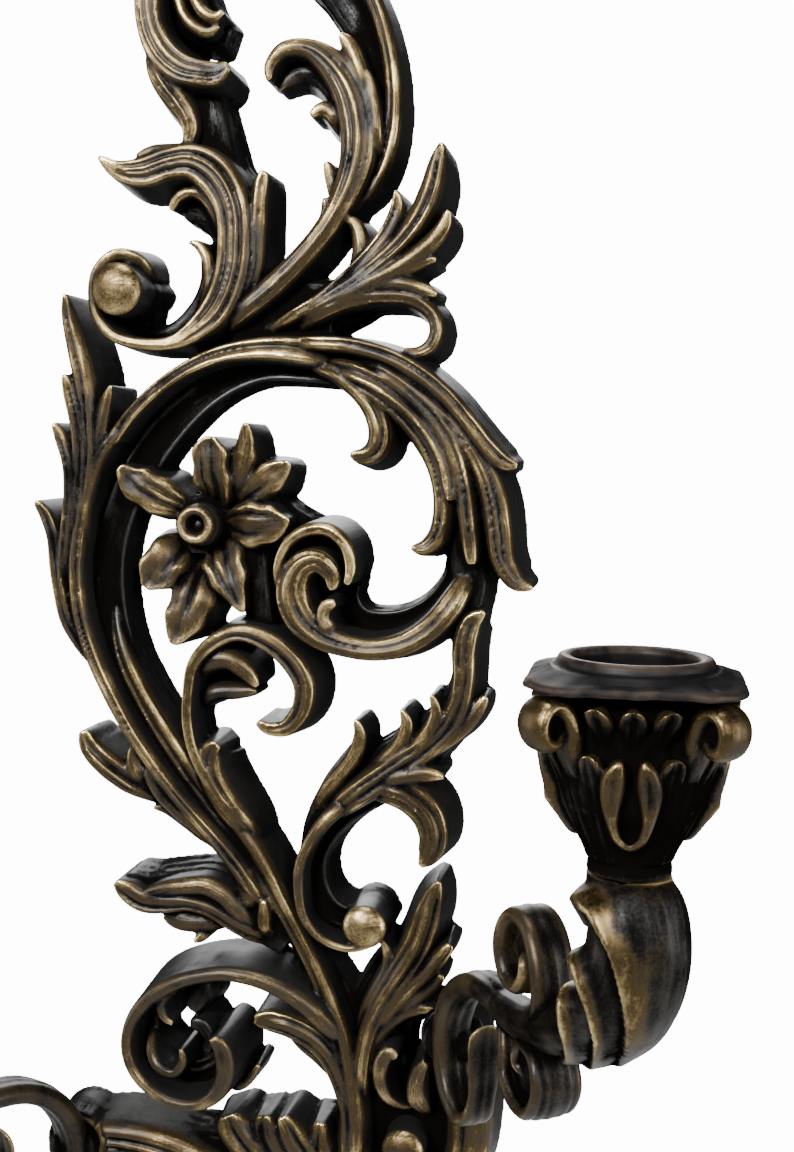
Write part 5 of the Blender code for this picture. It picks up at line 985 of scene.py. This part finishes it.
def radial(turn, radius, across, depth):
    """Drawing place at a turn about the cup's axis, a distance out, one across and one below the rim."""
    return np.stack((CUP_X + radius * np.cos(turn) - across * np.sin(turn),
                     CUP_Y + radius * np.sin(turn) + across * np.cos(turn),
                     RIM_Z - depth + 0 * radius + 0 * across), -1)


def bell_radius(depth):
    depths, radii = np.array(CUP_OUTSIDE).T
    return np.interp(depth, depths[::-1], radii[::-1])


def bell():
    """Body of the cup, fluted between its leaves."""
    depths = np.linspace(41.9, 5.8, 60)[:, None]
    turns = np.linspace(0, math.tau, 144, endpoint=False)[None, :]
    flutes = 0.25 * (1 + np.cos(24 * (turns - FLANGE_TURN))) * np.clip((37 - depths) / 6, 0, 1)
    radius = bell_radius(depths) - flutes
    return tube(radial(turns, radius, 0 * radius, depths), turns * radius, depths, 400, 0.05)


def shell_bar(turn, rows, ribs, gilt, seed, hollow, thick=3.4):
    """Ribbed leaf standing up the outside of the cup; hollow is how far its tip is cupped."""
    rows = spline(rows, 0.6)
    steps = np.linalg.norm(np.diff(rows[:, :2], axis=0), axis=1)
    along = np.concatenate(((0,), np.cumsum(steps)))[:, None]
    depth, radius, half = rows[:, :1], rows[:, 1:2], rows[:, 2:3]
    across = np.linspace(-1, 1, 29)[None, :]
    wave = 1 - np.abs(np.sin(math.pi * ribs * (across + 1) / 2)) ** 0.8
    curl = np.clip(1 - along / 6, 0, 1)
    front = radius + 0.75 - 0.6 * wave - 0.75 * across**2 * (1 - curl) + hollow * curl * (across**2 - 0.4)
    back = radius - thick * np.array((0.5, 1.0, 1.0, 0.5))[None, :]
    distance = np.hstack((front, back))
    reach = half * np.hstack((across, np.array(((0.95, 0.7, -0.7, -0.95),))))
    tips = gilt * np.clip(1.3 - along / 7, 0.12, 1)
    return tube(radial(turn, distance, reach, depth + 0 * distance), reach, along, seed, tips)


def volute_roll(turn, seed):
    """Leaf tip rolled up on itself under a corner of the flange, and the filling of its roll."""
    def place(radius, across, depth):
        return radial(turn, radius, across, depth)

    return [ribbon(VOLUTE, 1, groove=0.3, gilt=1.3, seed=seed, place=place),
            ribbon(VOLUTE_PLUG, 1, groove=0.0, gilt=0.0, seed=seed + 100, place=place)]


def fleuron(turn, seed):
    """Two upright blades joined by a loop, on the face between two corners."""
    rows = spline([*LOOP, *((-across, depth, width) for across, depth, width in LOOP[-2::-1])], 0.5)
    tangents, _, along = line_frame(rows[:, :2])
    around = np.linspace(0, math.tau, 24, endpoint=False)[None, :]
    width = rows[:, 2:3] / 2
    reach = width * np.sin(around)
    proud = np.minimum(LOOP_PROUD, 0.9 * width + 0.5)
    crease = 0.5 * np.clip(width - 1.1, 0, 1) * np.exp(-((reach / 0.45) ** 2)) * (np.cos(around) > 0)
    across, depth = offset(rows, tangents, reach)
    top = np.clip((25 - rows[:, 1:2]) / 6, 0, 1)
    radius = bell_radius(depth) + 0.6 + 1.3 * top + proud * np.cos(around) - crease
    return tube(radial(turn, radius, across, depth), reach, along, seed, 1)


def cups():
    bars = [bell()]
    for k in range(4):
        corner = FLANGE_TURN + math.tau * k / 4
        face = corner + math.tau / 8
        bars.append(shell_bar(corner, CORNER_LEAF, 3, 0.9, 410 + k, 0.6))
        bars += volute_roll(corner, 420 + k)
        bars.append(fleuron(face, 430 + k))
        for side in (-1, 1):
            bars.append(shell_bar(corner + side * 0.33, TALL_LEAF, 3, 1, 440 + 2 * k + side, 0.9))
            bars.append(shell_bar(corner + side * 0.42, SHORT_LEAF, 2, 1, 460 + 2 * k + side, 1.2))
        bars.append(shell_bar(face, SHORT_LEAF, 2, 1, 480 + k, 1.2))
    seat = CUP_FLOOR_Z - CUP_SCREW_SINK
    centre = (CUP_X, CUP_Y, 0)
    cutters = [
        cylinder_cutter(SLEEVE_R + GAP, (CUP_FLOOR_Z, RIM_Z), centre),
        cylinder_cutter(CUP_SCREW_HEAD_R + GAP, (seat, CUP_FLOOR_Z + 2), centre),
        cylinder_cutter(CUP_SCREW_R + GAP, (NECK_Z - 5, seat + 1), centre),
        box_cutter((CUP_X - 14, CUP_Y - 14, NECK_Z - 6), (CUP_X + 14, CUP_Y + 14, NECK_Z))]
    right = relief(cut(fuse("cup_carving_right", bars, CUP_VOXEL), cutters), bars)
    finish = antique("antique_cup", -0.7, 0.32, 2.4)
    stand_in_pair(right, "cup_carving", finish, "cup", "sconce")


def flange_reach(turns, radius):
    """Rounded square with cut corners."""
    face = np.maximum(np.abs(np.cos(turns - math.pi / 4)), np.abs(np.sin(turns - math.pi / 4)))
    side = FLANGE_SIDE_R / face
    corner = FLANGE_CORNER_R - 0.25 * np.abs(np.sin(2 * turns))
    return -np.log(np.exp(-side * 3.5) + np.exp(-corner * 3.5)) / 3.5 * radius / FLANGE_CORNER_R


def sockets():
    """Candle socket: thin sleeve with a floor, a raised lip and a sloping many-sided flange."""
    stations = np.arange(len(SOCKET))
    fine = np.linspace(0, len(SOCKET) - 1, 190)
    rows = np.stack([np.interp(fine, stations, column) for column in np.array(SOCKET).T], -1)
    for _ in range(3):
        rows[1:-1] = 0.25 * rows[:-2] + 0.5 * rows[1:-1] + 0.25 * rows[2:]
    turns = np.linspace(0, math.tau, 240, endpoint=False)[None, :]
    radius, depth, share, gilt = (column[:, None] for column in rows.T)
    reach = radius * (1 - share) + share * flange_reach(turns, radius)
    wobble = 0.12 * np.sin(5 * turns + 1) + 0.1 * np.sin(9 * turns + 2) + 0.06 * np.sin(23 * turns)
    depth = depth + wobble * share
    nick = np.exp(-(((turns - math.tau * 0.985) / 0.02) ** 2)) * np.exp(-(((radius - 20.4) / 1.6) ** 2))
    depth = depth + 0.5 * nick * (depth < 4.4)
    sections = radial(turns + FLANGE_TURN, reach, 0 * reach, depth)
    points, faces, notes = tube(sections, turns * radius, radius, 500, gilt)
    right = mesh_object("socket_shell_right", points, faces)
    put_attribute(right.data, "gilt", notes[:, 3])
    finish = matte_black("socket_black")
    stand_in_pair(right, "socket_shell", finish, "socket", "candle_socket_{side}")


# Materials

def shader_nodes(name):
    made = bpy.data.materials.new(name)
    made.use_nodes = True
    return made, made.node_tree, made.node_tree.links, made.node_tree.nodes["Principled BSDF"]


def math_node(tree, operation, *values, clamp=False):
    node = tree.nodes.new("ShaderNodeMath")
    node.operation = operation
    node.use_clamp = clamp
    for socket, value in zip(node.inputs, values):
        if isinstance(value, (int, float)):
            socket.default_value = value
        else:
            tree.links.new(value, socket)
    return node.outputs[0]


def weighted(tree, total, *terms):
    """The total plus weight * (value - middle) of each (value, weight, middle)."""
    for value, weight, middle in terms:
        past = math_node(tree, "SUBTRACT", value, middle)
        total = math_node(tree, "ADD", total, math_node(tree, "MULTIPLY", past, weight))
    return total


def ramp(tree, value, low, high):
    """Smooth 0 to 1 as the value goes from low to high."""
    node = tree.nodes.new("ShaderNodeMapRange")
    node.interpolation_type = "SMOOTHSTEP"
    node.inputs["From Min"].default_value = low
    node.inputs["From Max"].default_value = high
    tree.links.new(value, node.inputs["Value"])
    return node.outputs["Result"]


def mixed(tree, share, first, second):
    node = tree.nodes.new("ShaderNodeMix")
    node.data_type = "RGBA"
    tree.links.new(share, node.inputs["Factor"])
    for socket, value in ((node.inputs["A"], first), (node.inputs["B"], second)):
        if isinstance(value, tuple):
            socket.default_value = (*value, 1)
        else:
            tree.links.new(value, socket)
    return node.outputs["Result"]


def noise(tree, scale, detail, vector=None, stretch=None):
    """Noise over the object, or over a vector stretched by a factor each way."""
    node = tree.nodes.new("ShaderNodeTexNoise")
    node.inputs["Scale"].default_value = scale
    node.inputs["Detail"].default_value = detail
    node.inputs["Roughness"].default_value = 0.65
    if vector is None:
        vector = tree.nodes.new("ShaderNodeTexCoord").outputs["Object"]
    if stretch:
        scaled = tree.nodes.new("ShaderNodeVectorMath")
        scaled.operation = "MULTIPLY"
        scaled.inputs[1].default_value = stretch
        tree.links.new(vector, scaled.inputs[0])
        vector = scaled.outputs[0]
    tree.links.new(vector, node.inputs["Vector"])
    return node.outputs["Fac"]


def attribute(tree, name, output="Fac"):
    node = tree.nodes.new("ShaderNodeAttribute")
    node.attribute_name = name
    return node.outputs[output]


def bumped(tree, shader, height, strength, distance):
    bump = tree.nodes.new("ShaderNodeBump")
    bump.inputs["Strength"].default_value = strength
    bump.inputs["Distance"].default_value = distance
    tree.links.new(height, bump.inputs["Height"])
    tree.links.new(bump.outputs["Normal"], shader.inputs["Normal"])


def antique(name, gold_bias=0.0, sheen=0.5, streaky=3.4, flat=False):
    """Black-brown composition with gold rubbed on its high spots and streaked along the carving.

    On a flat piece the gold keeps to what faces the front, and the walls are a lighter charcoal than the
    front, a painted sheen.
    """
    made, tree, links, shader = shader_nodes(name)
    streak = noise(tree, 1.0, 4.0, attribute(tree, "grain", "Vector"), (2.6, 0.09, 1.0))
    speckle = noise(tree, 1500.0, 3.0)
    cloud = noise(tree, 70.0, 2.0)
    share = attribute(tree, "gilt")
    proud = weighted(
        tree, gold_bias, (attribute(tree, "crest"), 4.7, 0.0), (attribute(tree, "swell"), 2.3, 0.0),
        (streak, streaky, 0.5), (cloud, 4.5, 0.5), (speckle, 1.6, 0.5), (share, 1.5, 1.0))
    patina_and_wall_sheen = (0.0030, 0.0025, 0.0021)
    gloss = math_node(tree, "MULTIPLY", ramp(tree, proud, -1.6, 0.8), sheen)
    if flat:
        facing = tree.nodes.new("ShaderNodeSeparateXYZ")
        links.new(tree.nodes.new("ShaderNodeNewGeometry").outputs["Normal"], facing.inputs[0])
        front = ramp(tree, math_node(tree, "MULTIPLY", facing.outputs["Y"], -1.0), 0.1, 0.6)
        share = math_node(tree, "MULTIPLY", share, front)
        # painted sheen: walls turned away from the front get a lighter charcoal base colour than the dark
        # patina of the front
        patina_and_wall_sheen = mixed(tree, front, (0.012, 0.0116, 0.0112), patina_and_wall_sheen)
        gloss = math_node(tree, "MULTIPLY", gloss, weighted(tree, 0.4, (front, 0.6, 0.0)))
    rubbed = math_node(tree, "MULTIPLY", ramp(tree, proud, -0.7, 1.3), share, clamp=True)
    bright = math_node(tree, "MULTIPLY", ramp(tree, proud, 0.8, 3.3), share, clamp=True)
    color = mixed(tree, rubbed, patina_and_wall_sheen, (0.080, 0.054, 0.024))
    color = mixed(tree, bright, color, (0.78, 0.59, 0.28))
    rough = weighted(tree, 0.38, (bright, -0.12, 0.0), (speckle, 0.25, 0.5))
    links.new(color, shader.inputs["Base Color"])
    links.new(gloss, shader.inputs["Specular IOR Level"])
    links.new(rubbed, shader.inputs["Metallic"])
    links.new(rough, shader.inputs["Roughness"])
    height = weighted(tree, 0.0, (streak, 0.38 * streaky, 0.0), (speckle, 0.6, 0.0))
    bumped(tree, shader, height, 0.25, 0.0002)
    return made


def matte_black(name):
    """Socket's satin black, rubbed to pinkish brown on its lip."""
    made, tree, links, shader = shader_nodes(name)
    cloud = noise(tree, 120.0, 3.0)
    fine = noise(tree, 1800.0, 2.0)
    worn = math_node(tree, "MULTIPLY", attribute(tree, "gilt"), ramp(tree, cloud, 0.3, 0.7))
    color = mixed(tree, ramp(tree, cloud, 0.35, 0.75), (0.0022, 0.0022, 0.0023), (0.005, 0.0049, 0.0049))
    links.new(mixed(tree, worn, color, (0.13, 0.088, 0.064)), shader.inputs["Base Color"])
    links.new(math_node(tree, "MULTIPLY", worn, 0.8), shader.inputs["Metallic"])
    shader.inputs["Roughness"].default_value = 0.45
    shader.inputs["Specular IOR Level"].default_value = 0.14
    bumped(tree, shader, math_node(tree, "ADD", fine, cloud), 0.2, 0.0002)
    return made


def metal(name, color, roughness):
    """Small hardware: worn, slightly uneven metal."""
    made, tree, links, shader = shader_nodes(name)
    stain = noise(tree, 260.0, 4.0)
    fine = noise(tree, 2400.0, 2.0)
    dull = tuple(0.55 * channel for channel in color)
    links.new(mixed(tree, ramp(tree, stain, 0.42, 0.68), color, dull), shader.inputs["Base Color"])
    links.new(weighted(tree, roughness - 0.1, (stain, 0.3, 0.0)), shader.inputs["Roughness"])
    shader.inputs["Metallic"].default_value = 1
    bumped(tree, shader, fine, 0.2, 0.00005)
    return made


def hardware():
    """Finishes of the small parts that stay as the frame's own meshes."""
    steel = metal("worn_steel", (0.42, 0.41, 0.39), 0.38)
    brass = metal("turned_brass", (0.62, 0.42, 0.16), 0.34)
    finishes = {"hanger_strap": steel, "hanger_ring": steel}
    for side in ("right", "left"):
        finishes.update((f"{name}_{side}", steel) for name in (
            "arm_screw", "arm_washer", "arm_dowel", "cup_screw", "hanger_screw"))
        finishes.update((f"{name}_{side}", brass) for name in ("arm_insert", "cup_insert"))
    for node, finish in finishes.items():
        mesh = bpy.data.objects[node].data
        mesh.materials.clear()
        mesh.materials.append(finish)


# Stage

def camera_ray(tree):
    """1 for what the camera sees directly, 0 for what only lights the sconce."""
    return tree.nodes.new("ShaderNodeLightPath").outputs["Is Camera Ray"]


def pale_floor():
    bm = bmesh.new()
    bmesh.ops.create_grid(bm, x_segments=1, y_segments=1, size=1.5)
    floor = bmesh_object("floor", bm)
    floor.location = (0, -1.0, -0.32)
    pale, tree, links, shader = shader_nodes("floor_paint")
    grey = mixed(tree, noise(tree, 3.0, 2.0), (0.83, 0.83, 0.82), (0.87, 0.87, 0.86))
    links.new(grey, shader.inputs["Base Color"])
    links.new(grey, shader.inputs["Emission Color"])
    links.new(math_node(tree, "MULTIPLY", camera_ray(tree), FLOOR_GLOW), shader.inputs["Emission Strength"])
    shader.inputs["Roughness"].default_value = 0.9
    floor.data.materials.append(pale)


def surroundings():
    world = bpy.data.worlds.new("surround")
    world.use_nodes = True
    bpy.context.scene.world = world
    tree = world.node_tree
    back = tree.nodes["Background"]
    glow = weighted(tree, SKY_FILL, (camera_ray(tree), SKY_GLOW, 0.0))
    tree.links.new(glow, back.inputs["Strength"])
    back.inputs["Color"].default_value = (1, 1, 1, 1)


def area_light(name, place, size, power, target=(0.0, -0.02, 0.12), spread=180.0):
    light = bpy.data.lights.new(name, "AREA")
    light.shape = "RECTANGLE"
    light.size, light.size_y = size
    light.energy = power
    light.spread = math.radians(spread)
    made = bpy.data.objects.new(name, light)
    made.location = place
    made.rotation_euler = (Vector(target) - Vector(place)).to_track_quat("-Z", "Y").to_euler()
    bpy.context.scene.collection.objects.link(made)


def lights():
    """Soft lights all round, the key narrowed so that the sconce darkens towards its foot."""
    area_light("key", (-0.45, -1.15, 0.75), (0.26, 0.26), 4.0, (-0.02, -0.02, 0.25), 60.0)
    area_light("second", (0.6, -1.1, 0.6), (0.28, 0.28), 9)
    area_light("right", (1.15, -0.25, 0.2), (0.3, 0.8), 9)
    area_light("left", (-1.15, -0.2, 0.2), (0.3, 0.8), 6)
    area_light("top", (-0.05, -0.1, 1.2), (0.5, 0.4), 8)
    area_light("back", (-0.3, 1.2, 0.5), (0.8, 0.8), 12)


def camera():
    """Camera at the height and turn that the sconce was seen from, 1 degree off level."""
    right = Vector((math.cos(VIEW_TURN), math.sin(VIEW_TURN), 0))
    forward = Vector((-math.sin(VIEW_TURN) * math.cos(VIEW_DROP), math.cos(VIEW_TURN) * math.cos(VIEW_DROP),
                      -math.sin(VIEW_DROP)))
    up = right.cross(forward)
    side = right * math.cos(VIEW_ROLL) + up * math.sin(VIEW_ROLL)
    up = up * math.cos(VIEW_ROLL) - right * math.sin(VIEW_ROLL)
    lens = bpy.data.cameras.new("view")
    lens.lens, lens.sensor_width = VIEW_LENS, 36
    lens.clip_start = 0.01
    made = linked("view", lens)
    place = (Vector(VIEW_TARGET) - forward * VIEW_DISTANCE - Vector(ORIGIN)) * MM
    turn = Matrix((side, up, -forward)).transposed().to_4x4()
    made.matrix_world = Matrix.Translation(place) @ turn
    bpy.context.scene.camera = made


def main():
    plate()
    arms()
    cups()
    sockets()
    hardware()
    pale_floor()
    surroundings()
    lights()
    camera()


main()
